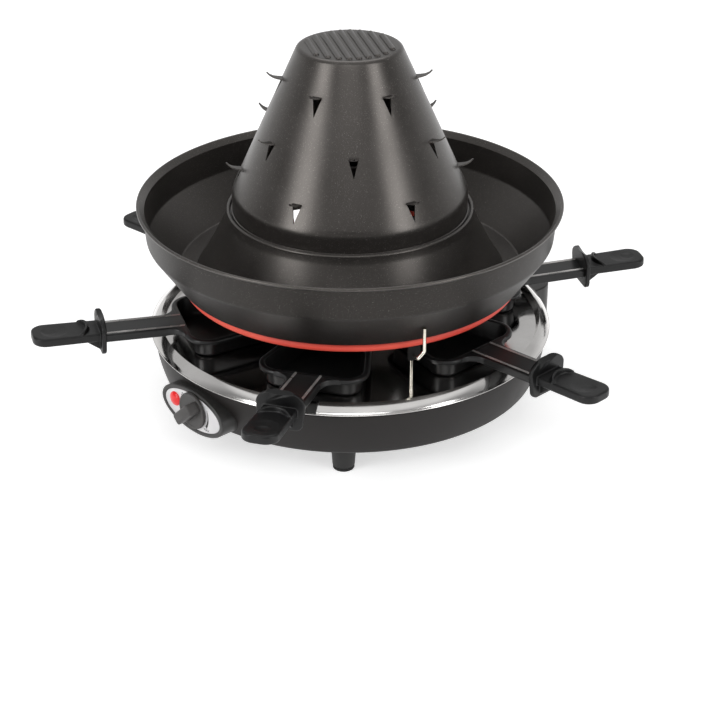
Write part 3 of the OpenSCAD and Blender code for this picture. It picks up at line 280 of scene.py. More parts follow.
class MeshDraft:
    """A mesh under construction, in millimetres."""

    def __init__(self) -> None:
        """Starts with no points and no faces."""
        self.points: list[Vector] = []
        self.faces: list[tuple[int, ...]] = []
        self.marks: list[int] = []

    def add(self, points: Sequence[Point], faces: Sequence[Sequence[int]]) -> "MeshDraft":
        """Adds points and faces with the first finish.

        Args:
            points: New points.
            faces: Faces over the new points, counted from their first.

        Returns:
            This draft.
        """
        base = len(self.points)
        self.points += [Vector(point) for point in points]
        for face in faces:
            loop = list(dict.fromkeys(base + i for i in face))
            if len(loop) > 2:
                self.faces.append(tuple(loop))
                self.marks.append(0)
        return self

    def loft(self, rings: Sequence[Sequence[Point]]) -> "MeshDraft":
        """Adds a skin through closed rings of equal point counts, and closes both ends.

        Args:
            rings: Rings from one end to the other.

        Returns:
            This draft.
        """
        n = len(rings[0])
        faces = [
            (j * n + i, j * n + (i + 1) % n, (j + 1) * n + (i + 1) % n, (j + 1) * n + i)
            for j in range(len(rings) - 1)
            for i in range(n)
        ]
        faces += [tuple(range(n)), tuple(range(len(rings) * n - 1, (len(rings) - 1) * n - 1, -1))]
        return self.add([point for ring in rings for point in ring], faces)

    def lathe(self, outline: Sequence[Flat], closed: bool = True, steps: int = LATHE_STEPS) -> "MeshDraft":
        """Adds an outline turned about the Z axis.

        Args:
            outline: Radius and height of each point.
            closed: Whether the last point joins the first.
            steps: Faces around the axis.

        Returns:
            This draft.
        """
        points: list[Point] = []
        rows: list[list[int]] = []
        for radius, height in outline:
            if radius < AXIS_R:
                rows.append([len(points)] * steps)
                points.append((0, 0, height))
                continue
            rows.append([len(points) + k for k in range(steps)])
            turns = [2 * math.pi * k / steps for k in range(steps)]
            points += [(radius * math.cos(turn), radius * math.sin(turn), height) for turn in turns]
        pairs = list(zip(rows, rows[1:])) + ([(rows[-1], rows[0])] if closed else [])
        faces = [
            (low[k], low[(k + 1) % steps], high[(k + 1) % steps], high[k])
            for low, high in pairs
            for k in range(steps)
        ]
        return self.add(points, faces)

    def sweep(self, path: Sequence[Vector], radius: float, sides: int = 20) -> "MeshDraft":
        """Adds a round bar along a path.

        Args:
            path: Middle points of the bar.
            radius: Radius of the bar.
            sides: Faces around the bar.

        Returns:
            This draft.
        """
        rings = []
        side = (path[1] - path[0]).orthogonal().normalized()
        for i, here in enumerate(path):
            run = path[min(i + 1, len(path) - 1)] - path[max(i - 1, 0)]
            side = (side - run * side.dot(run) / run.length_squared).normalized()
            other = run.normalized().cross(side)
            turns = [2 * math.pi * k / sides for k in range(sides)]
            rings.append([here + radius * (side * math.cos(turn) + other * math.sin(turn)) for turn in turns])
        return self.loft(rings)

    def merge(self, other: "MeshDraft") -> "MeshDraft":
        """Adds the points, faces and marks of another draft.

        Args:
            other: The draft to take in.

        Returns:
            This draft.
        """
        base = len(self.points)
        self.points += other.points
        self.faces += [tuple(base + i for i in face) for face in other.faces]
        self.marks += other.marks
        return self

    def placed(self, matrix: Matrix) -> "MeshDraft":
        """Moves all points by a matrix in millimetres."""
        self.points = [matrix @ point for point in self.points]
        return self

    def make(self, name: str, *finishes: bpy.types.Material) -> bpy.types.Object:
        """Makes the piece's object.

        Args:
            name: Name of the piece.
            finishes: Materials that the marks count.

        Returns:
            The object, at the origin.
        """
        mesh = bpy.data.meshes.new(name)
        mesh.from_pydata([point * MM for point in self.points], [], self.faces)
        for finish in finishes:
            mesh.materials.append(finish)
        mesh.polygons.foreach_set("material_index", self.marks)
        face_outwards(mesh)
        soften(mesh)
        return put(name, mesh)


def hand_over(piece: bpy.types.Object, body: str, slot: str, *nodes: str) -> None:
    """Ties a piece to its body and hides the nodes that it stands for.

    Args:
        piece: The finished piece.
        body: Body that carries it.
        slot: Its slot in the record; not used.
        nodes: Nodes that it replaces.
    """
    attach(piece, body)
    if nodes:
        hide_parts(*nodes)
    LOG.info("%s: %d faces on %s", piece.name, len(piece.data.polygons), body)


@dataclass(frozen=True)
class NodeBox:
    """Box of a frame node, in millimetres."""

    low: Vector
    high: Vector

    @classmethod
    def of(cls, node: str) -> "NodeBox":
        """Reads a node's box from the frame."""
        low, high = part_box(node)
        return cls(low / MM, high / MM)

    @property
    def middle(self) -> Vector:
        """Middle of the box."""
        return (self.low + self.high) / 2


# Node trees


class Wiring:
    """Short hand for making and linking the nodes of one tree."""

    def __init__(self, tree: bpy.types.NodeTree) -> None:
        """Keeps the tree to work on."""
        self.tree = tree

    def node(self, kind: str, inputs: dict | None = None, **settings: object) -> bpy.types.Node:
        """Makes a node.

        Args:
            kind: The node's type.
            inputs: Value or source socket of each input, by name or number.
            settings: Properties of the node.

        Returns:
            The node.
        """
        node = self.tree.nodes.new(kind)
        for name, value in settings.items():
            setattr(node, name, value)
        for key, value in (inputs or {}).items():
            if isinstance(value, bpy.types.NodeSocket):
                self.tree.links.new(value, node.inputs[key])
            else:
                node.inputs[key].default_value = value
        return node

    def math(self, operation: str, *values: object) -> bpy.types.NodeSocket:
        """Gives the result of a math node."""
        return self.node("ShaderNodeMath", dict(enumerate(values)), operation=operation).outputs[0]

    def group(self, tree: bpy.types.NodeTree, inputs: dict) -> bpy.types.Node:
        """Places a shader group with its own values."""
        return self.node("ShaderNodeGroup", inputs, node_tree=tree)

    def vector(self, x: object = 0.0, y: object = 0.0, z: object = 0.0) -> bpy.types.NodeSocket:
        """Gives a vector of three values or sockets."""
        return self.node("ShaderNodeCombineXYZ", {0: x, 1: y, 2: z}).outputs[0]

    def rotation(self, x: object = 0.0, y: object = 0.0, z: object = 0.0) -> bpy.types.NodeSocket:
        """Gives a rotation by three angles."""
        return self.node("FunctionNodeEulerToRotation", {0: self.vector(x, y, z)}).outputs[0]

    def finish(self, geometry: bpy.types.NodeSocket, coating: bpy.types.NodeSocket) -> bpy.types.NodeSocket:
        """Gives a geometry as plain faces with their material."""
        real = self.node("GeometryNodeRealizeInstances", {0: geometry}).outputs[0]
        return self.node("GeometryNodeSetMaterial", {"Geometry": real, "Material": coating}).outputs[0]


def new_group(name: str, kind: str, inputs: dict[str, str], outputs: dict[str, str]) -> tuple[Wiring, dict, dict]:
    """Starts a node group.

    Args:
        name: The group's name.
        kind: The type of its tree.
        inputs: Socket type of each named input.
        outputs: Socket type of each named output.

    Returns:
        The wiring, the sockets that carry the inputs in, and the sockets that take the outputs.
    """
    tree = bpy.data.node_groups.new(name, kind)
    for socket, socket_type in inputs.items():
        tree.interface.new_socket(socket, in_out="INPUT", socket_type=socket_type)
    for socket, socket_type in outputs.items():
        tree.interface.new_socket(socket, in_out="OUTPUT", socket_type=socket_type)
    wiring = Wiring(tree)
    entry = wiring.node("NodeGroupInput")
    leave = wiring.node("NodeGroupOutput")
    return wiring, {s: entry.outputs[s] for s in inputs}, {s: leave.inputs[s] for s in outputs}


VECTOR = "NodeSocketVector"
VALUE = "NodeSocketFloat"
COUNT = "NodeSocketInt"
COLOUR = "NodeSocketColor"
SHAPE = "NodeSocketGeometry"
COATING = "NodeSocketMaterial"


class SurfaceEffects:
    """Shader groups that several finishes share, each built once."""

    # Levels of the noise between which a pattern goes from one end to the other
    drift_from, drift_to = 0.35, 0.65
    smudge_from, smudge_to = 0.3, 0.7
    fleck_level, fleck_edge = 0.78, 0.1

    def __init__(self) -> None:
        """Builds the groups."""
        self.drift = self._drift()
        self.grain = self._grain()
        self.flecks = self._flecks()
        self.smudge = self._smudge()
        self.turned = self._turned()

    @classmethod
    def _drift(cls) -> bpy.types.NodeTree:
        """Slow change between two shades of a colour.

        Returns:
            The group's tree.
        """
        w, entry, leave = new_group(
            "colour_drift", "ShaderNodeTree",
            {"Vector": VECTOR, "Scale": VALUE, "Light": COLOUR, "Dark": COLOUR}, {"Color": COLOUR},
        )
        noise = w.node("ShaderNodeTexNoise", {
            "Vector": entry["Vector"], "Scale": entry["Scale"], "Detail": 3.0,
        })
        share = w.node("ShaderNodeMapRange", {0: noise.outputs[0], 1: cls.drift_from, 2: cls.drift_to})
        mix = w.node(
            "ShaderNodeMix", {0: share.outputs[0], 6: entry["Dark"], 7: entry["Light"]}, data_type="RGBA"
        )
        w.tree.links.new(mix.outputs[2], leave["Color"])
        return w.tree

    @staticmethod
    def _grain() -> bpy.types.NodeTree:
        """Fine irregular height of a moulded or sprayed surface.

        Returns:
            The group's tree.
        """
        w, entry, leave = new_group(
            "fine_grain", "ShaderNodeTree", {"Vector": VECTOR, "Scale": VALUE}, {"Height": VALUE}
        )
        noise = w.node(
            "ShaderNodeTexNoise",
            {"Vector": entry["Vector"], "Scale": entry["Scale"], "Detail": 4.0, "Roughness": 0.6},
        )
        w.tree.links.new(noise.outputs[0], leave["Height"])
        return w.tree

    @classmethod
    def _flecks(cls) -> bpy.types.NodeTree:
        """Small scattered flecks in a coating.

        Returns:
            The group's tree.
        """
        w, entry, leave = new_group(
            "coating_flecks", "ShaderNodeTree",
            {"Vector": VECTOR, "Scale": VALUE, "Share": VALUE}, {"Mask": VALUE},
        )
        noise = w.node("ShaderNodeTexNoise", {
            "Vector": entry["Vector"], "Scale": entry["Scale"], "Detail": 1.0,
        })
        edge = w.math("SUBTRACT", cls.fleck_level, entry["Share"])
        full = w.math("ADD", edge, cls.fleck_edge)
        mask = w.node("ShaderNodeMapRange", {0: noise.outputs[0], 1: edge, 2: full})
        w.tree.links.new(mask.outputs[0], leave["Mask"])
        return w.tree

    @classmethod
    def _smudge(cls) -> bpy.types.NodeTree:
        """Roughness that changes in soft patches.

        Returns:
            The group's tree.
        """
        w, entry, leave = new_group(
            "soft_smudge", "ShaderNodeTree",
            {"Vector": VECTOR, "Scale": VALUE, "Middle": VALUE, "Spread": VALUE}, {"Roughness": VALUE},
        )
        noise = w.node("ShaderNodeTexNoise", {
            "Vector": entry["Vector"], "Scale": entry["Scale"], "Detail": 2.0,
        })
        low = w.math("SUBTRACT", entry["Middle"], entry["Spread"])
        high = w.math("ADD", entry["Middle"], entry["Spread"])
        value = w.node("ShaderNodeMapRange", {
            0: noise.outputs[0], 1: cls.smudge_from, 2: cls.smudge_to, 3: low, 4: high,
        })
        w.tree.links.new(value.outputs[0], leave["Roughness"])
        return w.tree

    @staticmethod
    def _turned() -> bpy.types.NodeTree:
        """Fine rings about the Z axis, as turning or polishing leaves them.

        Returns:
            The group's tree.
        """
        w, entry, leave = new_group(
            "turned_rings", "ShaderNodeTree", {"Vector": VECTOR, "Scale": VALUE}, {"Height": VALUE}
        )
        parts = w.node("ShaderNodeSeparateXYZ", {0: entry["Vector"]}).outputs
        squares = [w.math("POWER", parts[i], 2.0) for i in (0, 1)]
        place = w.vector(w.math("SQRT", w.math("ADD", *squares)), z=parts[2])
        noise = w.node("ShaderNodeTexNoise", {"Vector": place, "Scale": entry["Scale"], "Detail": 2.0})
        w.tree.links.new(noise.outputs[0], leave["Height"])
        return w.tree


class Lines(Enum):
    """How the fine marks of a surface run."""

    GRAIN = "grain"
    TURNED = "turned"


@dataclass(frozen=True)
class Finish:
    """A surface finish; lengths of its patterns are per metre, and depths are metres."""

    slot: str
    light: tuple[float, float, float]
    dark: tuple[float, float, float]
    roughness: float = 0.4
    spread: float = 0.05
    metallic: float = 0.0
    specular: float = 0.5
    tint: tuple[float, float, float] = (255, 255, 255)
    coat: float = 0.0
    coat_roughness: float = 0.1
    grain_scale: float = 1500.0
    grain_depth: float = 0.00002
    drift_scale: float = 30.0
    flecks: float = 0.0
    fleck_scale: float = 2600.0
    fleck_colour: tuple[float, float, float] = (170, 166, 160)
    lines: Lines = Lines.GRAIN
    # Emission strength: a lit lamp's glow, and on the heating element painted light that lifts the tube out of the
    # shade under the bowl
    glow_and_painted_light: float = 0.0

    def build(self, effects: SurfaceEffects) -> bpy.types.Material:
        """Builds the material.

        Args:
            effects: The shared shader groups.

        Returns:
            The material.
        """
        material = bpy.data.materials.new(self.slot)
        material.use_nodes = True
        w = Wiring(material.node_tree)
        shader = material.node_tree.nodes["Principled BSDF"]
        place = w.node("ShaderNodeTexCoord").outputs["Object"]
        colour = w.group(effects.drift, {
            "Vector": place, "Scale": self.drift_scale, "Light": srgb(*self.light), "Dark": srgb(*self.dark),
        }).outputs["Color"]
        if self.flecks:
            mask = w.group(effects.flecks, {"Vector": place, "Scale": self.fleck_scale, "Share": self.flecks})
            colour = w.node("ShaderNodeMix", {
                0: mask.outputs["Mask"], 6: colour, 7: srgb(*self.fleck_colour),
            }, data_type="RGBA").outputs[2]
        rough = w.group(effects.smudge, {
            "Vector": place, "Scale": self.drift_scale, "Middle": self.roughness, "Spread": self.spread,
        }).outputs["Roughness"]
        pattern = effects.turned if self.lines is Lines.TURNED else effects.grain
        height = w.group(pattern, {"Vector": place, "Scale": self.grain_scale}).outputs["Height"]
        bump = w.node("ShaderNodeBump", {"Strength": 1.0, "Distance": self.grain_depth, "Height": height})
        links = material.node_tree.links
        links.new(colour, shader.inputs["Base Color"])
        links.new(rough, shader.inputs["Roughness"])
        links.new(bump.outputs[0], shader.inputs["Normal"])
        plain = {
            "Metallic": self.metallic, "Specular IOR Level": self.specular, "Specular Tint": srgb(*self.tint),
            "Coat Weight": self.coat, "Coat Roughness": self.coat_roughness,
        }
        # The surface colour is also emitted: a lamp's glow, and painted light on the heating element, which is no
        # lamp
        if self.glow_and_painted_light:
            links.new(colour, shader.inputs["Emission Color"])
            plain["Emission Strength"] = self.glow_and_painted_light
        for socket, value in plain.items():
            shader.inputs[socket].default_value = value
        return material


WARM = (255, 247, 240)
FINISHES = (
    Finish("shell_black", (31, 28, 27), (27, 24, 23), 0.5, 0.04, specular=0.3,
           grain_scale=900, grain_depth=0.00001),
    Finish("plate_black", (40, 40, 40), (32, 32, 32), 0.5),
    Finish("foot_black", (27, 26, 25), (22, 21, 20), 0.55, grain_depth=0.00004),
    Finish("pad_rubber", (26, 26, 26), (20, 20, 20), 0.8, grain_scale=2500, grain_depth=0.00005),
    Finish("zinc_steel", (196, 196, 200), (170, 170, 176), 0.35, 0.08, metallic=1.0, drift_scale=120),
    Finish("tray_steel", (230, 228, 226), (218, 216, 214), 0.12, 0.05, metallic=1.0, lines=Lines.TURNED,
           grain_scale=900, grain_depth=0.000004),
    # The heating element's faint emission is painted light that brightens the tube in the shade beneath the bowl
    Finish("element_red", (226, 86, 68), (200, 58, 44), 0.55, 0.08, drift_scale=14, glow_and_painted_light=0.04),
    Finish("ceramic", (230, 225, 208), (218, 210, 190), 0.3),
    Finish("bright_wire", (232, 228, 216), (208, 203, 190), 0.2, 0.06, metallic=1.0, drift_scale=200),
    Finish("housing_black", (38, 37, 36), (32, 31, 30), 0.4, 0.05),
    Finish("fascia_silver", (226, 225, 226), (214, 213, 214), 0.42, 0.05, metallic=0.3, grain_scale=2400),
    Finish("lamp_red", (226, 24, 26), (204, 12, 14), 0.3, 0.05, coat=0.2, grain_depth=0.000005, glow_and_painted_light=0.25),
    Finish("inner_plastic", (218, 214, 202), (206, 202, 190), 0.5),
    Finish("thermostat_metal", (178, 172, 160), (156, 150, 140), 0.4, 0.08, metallic=1.0),
    Finish("lead_sleeve", (216, 208, 180), (196, 188, 160), 0.8, grain_scale=3000, grain_depth=0.00008),
    Finish("knob_black", (60, 58, 57), (53, 51, 50), 0.45, 0.05, grain_depth=0.00003),
    Finish("shaft_steel", (200, 200, 204), (184, 184, 190), 0.3, 0.05, metallic=1.0),
    Finish("pan_black", (20, 20, 20), (14, 14, 15), 0.34, 0.05, specular=0.4,
           grain_scale=700, grain_depth=0.000008),
    Finish("handle_black", (14, 14, 14), (11, 11, 12), 0.42, 0.06, specular=0.34,
           grain_scale=1400, grain_depth=0.00005),
    Finish("bowl_outside", (27, 25, 24), (23, 21, 20), 0.42, 0.03, specular=0.36, tint=WARM, flecks=0.08,
           grain_scale=1300),
    Finish("bowl_coating", (34, 32, 31), (29, 27, 26), 0.34, 0.03, specular=0.9, tint=WARM, flecks=0.1,
           grain_scale=1300),
    Finish("hat_coating", (32, 30, 29), (28, 26, 25), 0.31, 0.03, specular=0.9, tint=WARM, flecks=0.1,
           grain_scale=1300),
    Finish("bare_edge", (150, 147, 142), (120, 117, 112), 0.35, 0.08, metallic=1.0, drift_scale=300),
    # Light, part metallic paint on the pans' stem beads is a painted highlight standing in for the bright
    # reflections along their ridges
    Finish("bead_painted_highlight", (188, 186, 184), (150, 148, 146), 0.3, 0.06, metallic=0.6, drift_scale=60),
    # Near black paint for the clips that stand in the shade under the bowl: painted shade
    Finish("painted_shade_dark", (24, 23, 22), (16, 15, 15), 0.7, 0.08, specular=0.2, drift_scale=160),
    Finish("mark_black", (26, 26, 26), (20, 20, 20), 0.55),
)
# Nodes painted near black, a painted shade that sinks them into the shade under the bowl
PAINTED_SHADE_NODES = ("element_clips",)
Paints = dict[str, bpy.types.Material]


# Sub-assemblies


@dataclass
class BodyShell:
    """Black painted shell that carries the tray, with its two windows."""

    lip_r: float = 131
    bottom_r: float = 140
    bulge: float = 1.4
    foot_round: float = 4
    top_round: float = 0.8
    wall_t: float = 2.2
    ledge_in: float = 1.5
    ledge_r: float = 129
    step: float = 1.5
    window_a: float = 27
    window_b: float = 12.6
    rear_half: float = 38
    rear_window_h: float = 16
    wall_points: int = 14

    def wall(self) -> list[Flat]:
        """Gives points of the bulged wall, from above its foot to below its top edge.

        Returns:
            Radius and height of each point.
        """
        box = NodeBox.of("body_shell")
        height = box.high.z - self.step - box.low.z
        points = []
        for i in range(2, self.wall_points - 1):
            s = i / self.wall_points
            radius = self.bottom_r + (box.high.x - self.bottom_r) * s + 4 * self.bulge * s * (1 - s)
            points.append((radius, box.low.z + height * s))
        return points

    def outer_path(self) -> list[Flat]:
        """Gives the outer face from the bottom lip up to the ledge.

        Returns:
            Radius and height of each point.
        """
        box = NodeBox.of("body_shell")
        low, top, top_r = box.low.z, box.high.z - self.step, box.high.x
        ledge_out = top_r - self.ledge_in
        corners = [(self.lip_r, low, 0), (self.bottom_r, low, self.foot_round)]
        corners += [(r, z, 0) for r, z in self.wall()]
        corners += [(top_r, top, self.top_round), (ledge_out, top, 0), (ledge_out, box.high.z, 0)]
        return rounded_path(corners + [(self.ledge_r, box.high.z, 0)])

    def inner_path(self) -> list[Flat]:
        """Gives the inner face, from the ledge down to the bottom lip.

        Returns:
            Radius and height of each point.
        """
        box = NodeBox.of("body_shell")
        under = box.high.z - self.wall_t
        riser = box.high.x - self.ledge_in - self.wall_t
        wall = [(r - self.wall_t, z) for r, z in self.wall()]
        floor = box.low.z + self.wall_t
        path = [(self.lip_r, floor), (wall[0][0] - self.wall_t / 2, floor)] + wall
        path += [(wall[-1][0], under - self.step), (riser, under - self.step)]
        path += [(riser, under), (self.ledge_r, under)]
        return path[::-1]

    def space(self) -> bpy.types.Object:
        """Makes a solid of the room inside the shell's outer face, for pieces that lie against it.

        Returns:
            The solid's object.
        """
        path = self.outer_path()
        outline = [(0, path[0][1])] + path + [(0, path[-1][1])]
        return MeshDraft().lathe(outline, closed=False).make("shell_space")

    def build(self, paints: Paints) -> None:
        """Builds the shell and cuts its windows.

        Args:
            paints: Materials by slot.
        """
        outline = self.outer_path() + self.inner_path()
        piece = MeshDraft().lathe(outline).make("body_shell_dressed", paints["shell_black"])
        front, rear = NodeBox.of("control_housing"), NodeBox.of("rear_housing")
        oval = ellipse(self.window_a, self.window_b)
        rings = [upright(oval, y, front.middle.z) for y in (front.low.y, -self.ledge_r + self.foot_round)]
        carve(piece, MeshDraft().loft(rings).make("front_window", paints["shell_black"]))
        half, up = self.rear_half, self.rear_window_h / 2
        corners = [(-half, -up), (half, -up), (half, up), (-half, up)]
        rings = [upright(corners, y, rear.middle.z) for y in (self.ledge_r, rear.high.y)]
        carve(piece, MeshDraft().loft(rings).make("rear_window", paints["shell_black"]))
        hand_over(piece, "base", "shell_black", "body_shell")


@dataclass
class SteelTray:
    """Polished tray with a crowned rim, a rounded lip and a hem."""

    rim_w: float = 8.6
    rim_h: float = 6
    wall_w: float = 1.8
    crest_in: float = 0.5
    band_run: float = 7.6
    tilt_from: float = 22
    tilt_to: float = 52
    band_steps: int = 12
    lip_h: float = 6.6
    lip_round: float = 0.3
    hem_in: float = 1.1
    sheet_t: float = 0.8
    edge_round: float = 0.4

    def build(self, paints: Paints) -> None:
        """Builds the tray as one turned sheet.

        Args:
            paints: Materials by slot.
        """
        box = NodeBox.of("steel_tray")
        outer, top = box.high.x, box.high.z
        floor = top - self.rim_h
        rim_in = outer - self.rim_w
        first, last = math.radians(self.tilt_from), math.radians(self.tilt_to)
        band_r = self.band_run / (math.sin(last) - math.sin(first))
        crest = rim_in + self.crest_in
        centre = (crest - band_r * math.sin(first), top - band_r * math.cos(first))
        band = arc(centre, band_r, 90 - self.tilt_from, 90 - self.tilt_to, self.band_steps)
        lip_z = top - self.lip_h
        corners = [(0, floor, 0), (rim_in - self.wall_w, floor, 0)]
        corners += [(x, z, 0) for x, z in band]
        corners += [(outer, band[-1][1] - self.crest_in, self.edge_round), (outer, lip_z, self.lip_round)]
        corners += [(outer - self.hem_in, lip_z, 0), (outer - self.hem_in, box.low.z, 0)]
        path = rounded_path(corners)
        under = beside(path, -self.sheet_t)
        under[0] = (0, floor - self.sheet_t)
        draft = MeshDraft().lathe(path + under[::-1], closed=False)
        piece = draft.make("steel_tray_dressed", paints["tray_steel"])
        hand_over(piece, "base", "tray_steel", "steel_tray")


@dataclass
class Feet:
    """Four tapered feet on rubber pads."""

    count: int = 4
    pad_h: float = 2.4
    tip_r: float = 8
    top_r: float = 9.6
    tip_round: float = 1.2
    top_round: float = 0.3
    pad_in: float = 0.2
    pad_round: float = 0.8
    pad_top_round: float = 0.2
    steps: int = 64

    def build(self, paints: Paints) -> None:
        """Builds each foot and the set of pads.

        Args:
            paints: Materials by slot.
        """
        pads = MeshDraft()
        for k in range(1, self.count + 1):
            box = NodeBox.of(f"foot_{k}")
            place = Matrix.Translation((box.middle.x, box.middle.y, 0))
            low, top = box.low.z, box.high.z
            outline = rounded_path([
                (0, low, 0), (self.tip_r, low, self.tip_round), (self.top_r, top, self.top_round), (0, top, 0),
            ])
            foot = MeshDraft().lathe(outline, closed=False, steps=self.steps).placed(place)
            hand_over(foot.make(f"foot_{k}_dressed", paints["foot_black"]), "base", "foot_black", f"foot_{k}")
            pad_r = self.tip_r - self.pad_in
            outline = rounded_path([
                (0, 0, 0), (pad_r, 0, self.pad_round), (pad_r, self.pad_h, self.pad_top_round), (0, self.pad_h, 0),
            ])
            pads.merge(MeshDraft().lathe(outline, closed=False, steps=self.steps).placed(place))
        hand_over(pads.make("foot_pads_dressed", paints["pad_rubber"]), "base", "pad_rubber", "foot_pads")


@dataclass
class RingElement:
    """Ring heater, a bent tube with two legs."""

    tube_r: float = 3.6
    leg_angle: float = 155
    leg_spread: float = 6
    bend: float = 9
    ring_steps: int = 240
    bend_steps: int = 10
    sides: int = 28

    def path(self) -> list[Vector]:
        """Gives the tube's middle line from the end of one leg to the other.

        Returns:
            Points of the middle line.
        """
        box = NodeBox.of("heating_element")
        ring_r = box.high.x - self.tube_r
        z = box.high.z - self.tube_r
        leg_r = math.hypot(ring_r, self.bend)
        opening = self.leg_spread + math.degrees(math.atan2(self.bend, ring_r))

        def elbow(side: int, phi: float) -> Vector:
            """Gives a point of the bend between the ring and a leg.

            Args:
                side: 1 or -1, for the leg on either side.
                phi: Angle along the bend in radians.

            Returns:
                The point.
            """
            turn = math.radians(self.leg_angle + side * opening)
            back = side * math.sin(phi)
            away = Vector((back * math.sin(turn), -back * math.cos(turn), math.cos(phi)))
            return polar(ring_r, self.leg_angle + side * opening, z - self.bend) + self.bend * away

        bends = [math.radians(90 * i / self.bend_steps) for i in range(1, self.bend_steps + 1)]
        sweep = 360 - 2 * opening
        first = [polar(leg_r, self.leg_angle + self.leg_spread, box.low.z)]
        first += [elbow(1, phi) for phi in bends[::-1]]
        ring = [
            polar(ring_r, self.leg_angle + opening + sweep * i / self.ring_steps, z)
            for i in range(self.ring_steps + 1)
        ]
        last = [elbow(-1, phi) for phi in bends]
        last.append(polar(leg_r, self.leg_angle - self.leg_spread, box.low.z))
        return first + ring + last

    def build(self, paints: Paints) -> None:
        """Builds the tube."""
        draft = MeshDraft().sweep(self.path(), self.tube_r, self.sides)
        hand_over(draft.make("ring_element", paints["element_red"]), "base", "element_red", "heating_element")


@dataclass
class WireSupports:
    """Bent wires that hold the bowl in its place above the element."""

    directions: tuple[float, ...] = (338.4, 95.5, 214)
    wire_r: float = 1.25
    bend: float = 1.6
    leg_r: float = 112
    leg_side: float = 3
    leg_h: float = 23.5
    arm_side: float = -3.6
    arm_h: float = 33.9
    post_side: float = 1
    post_low_h: float = 38.4
    post_r: float = 138.89

    def build(self, paints: Paints) -> None:
        """Builds one wire for each support.

        Args:
            paints: Materials by slot.
        """
        tray = NodeBox.of("steel_tray")
        floor = tray.high.z - SteelTray.rim_h
        for k, direction in enumerate(self.directions, 1):
            box = NodeBox.of(f"wire_support_{k}")
            path = [
                Vector((self.leg_r, self.leg_side, box.low.z)),
                Vector((self.leg_r, self.leg_side, floor + self.leg_h)),
                Vector((self.post_r, self.arm_side, floor + self.arm_h)),
                Vector((self.post_r, self.post_side, floor + self.post_low_h)),
                Vector((self.post_r, self.post_side, box.high.z)),
            ]
            turned = Matrix.Rotation(math.radians(direction), 4, "Z")
            draft = MeshDraft().sweep(bent(path, self.bend), self.wire_r).placed(turned)
            piece = draft.make(f"wire_support_{k}_dressed", paints["bright_wire"])
            hand_over(piece, "base", "bright_wire", f"wire_support_{k}")


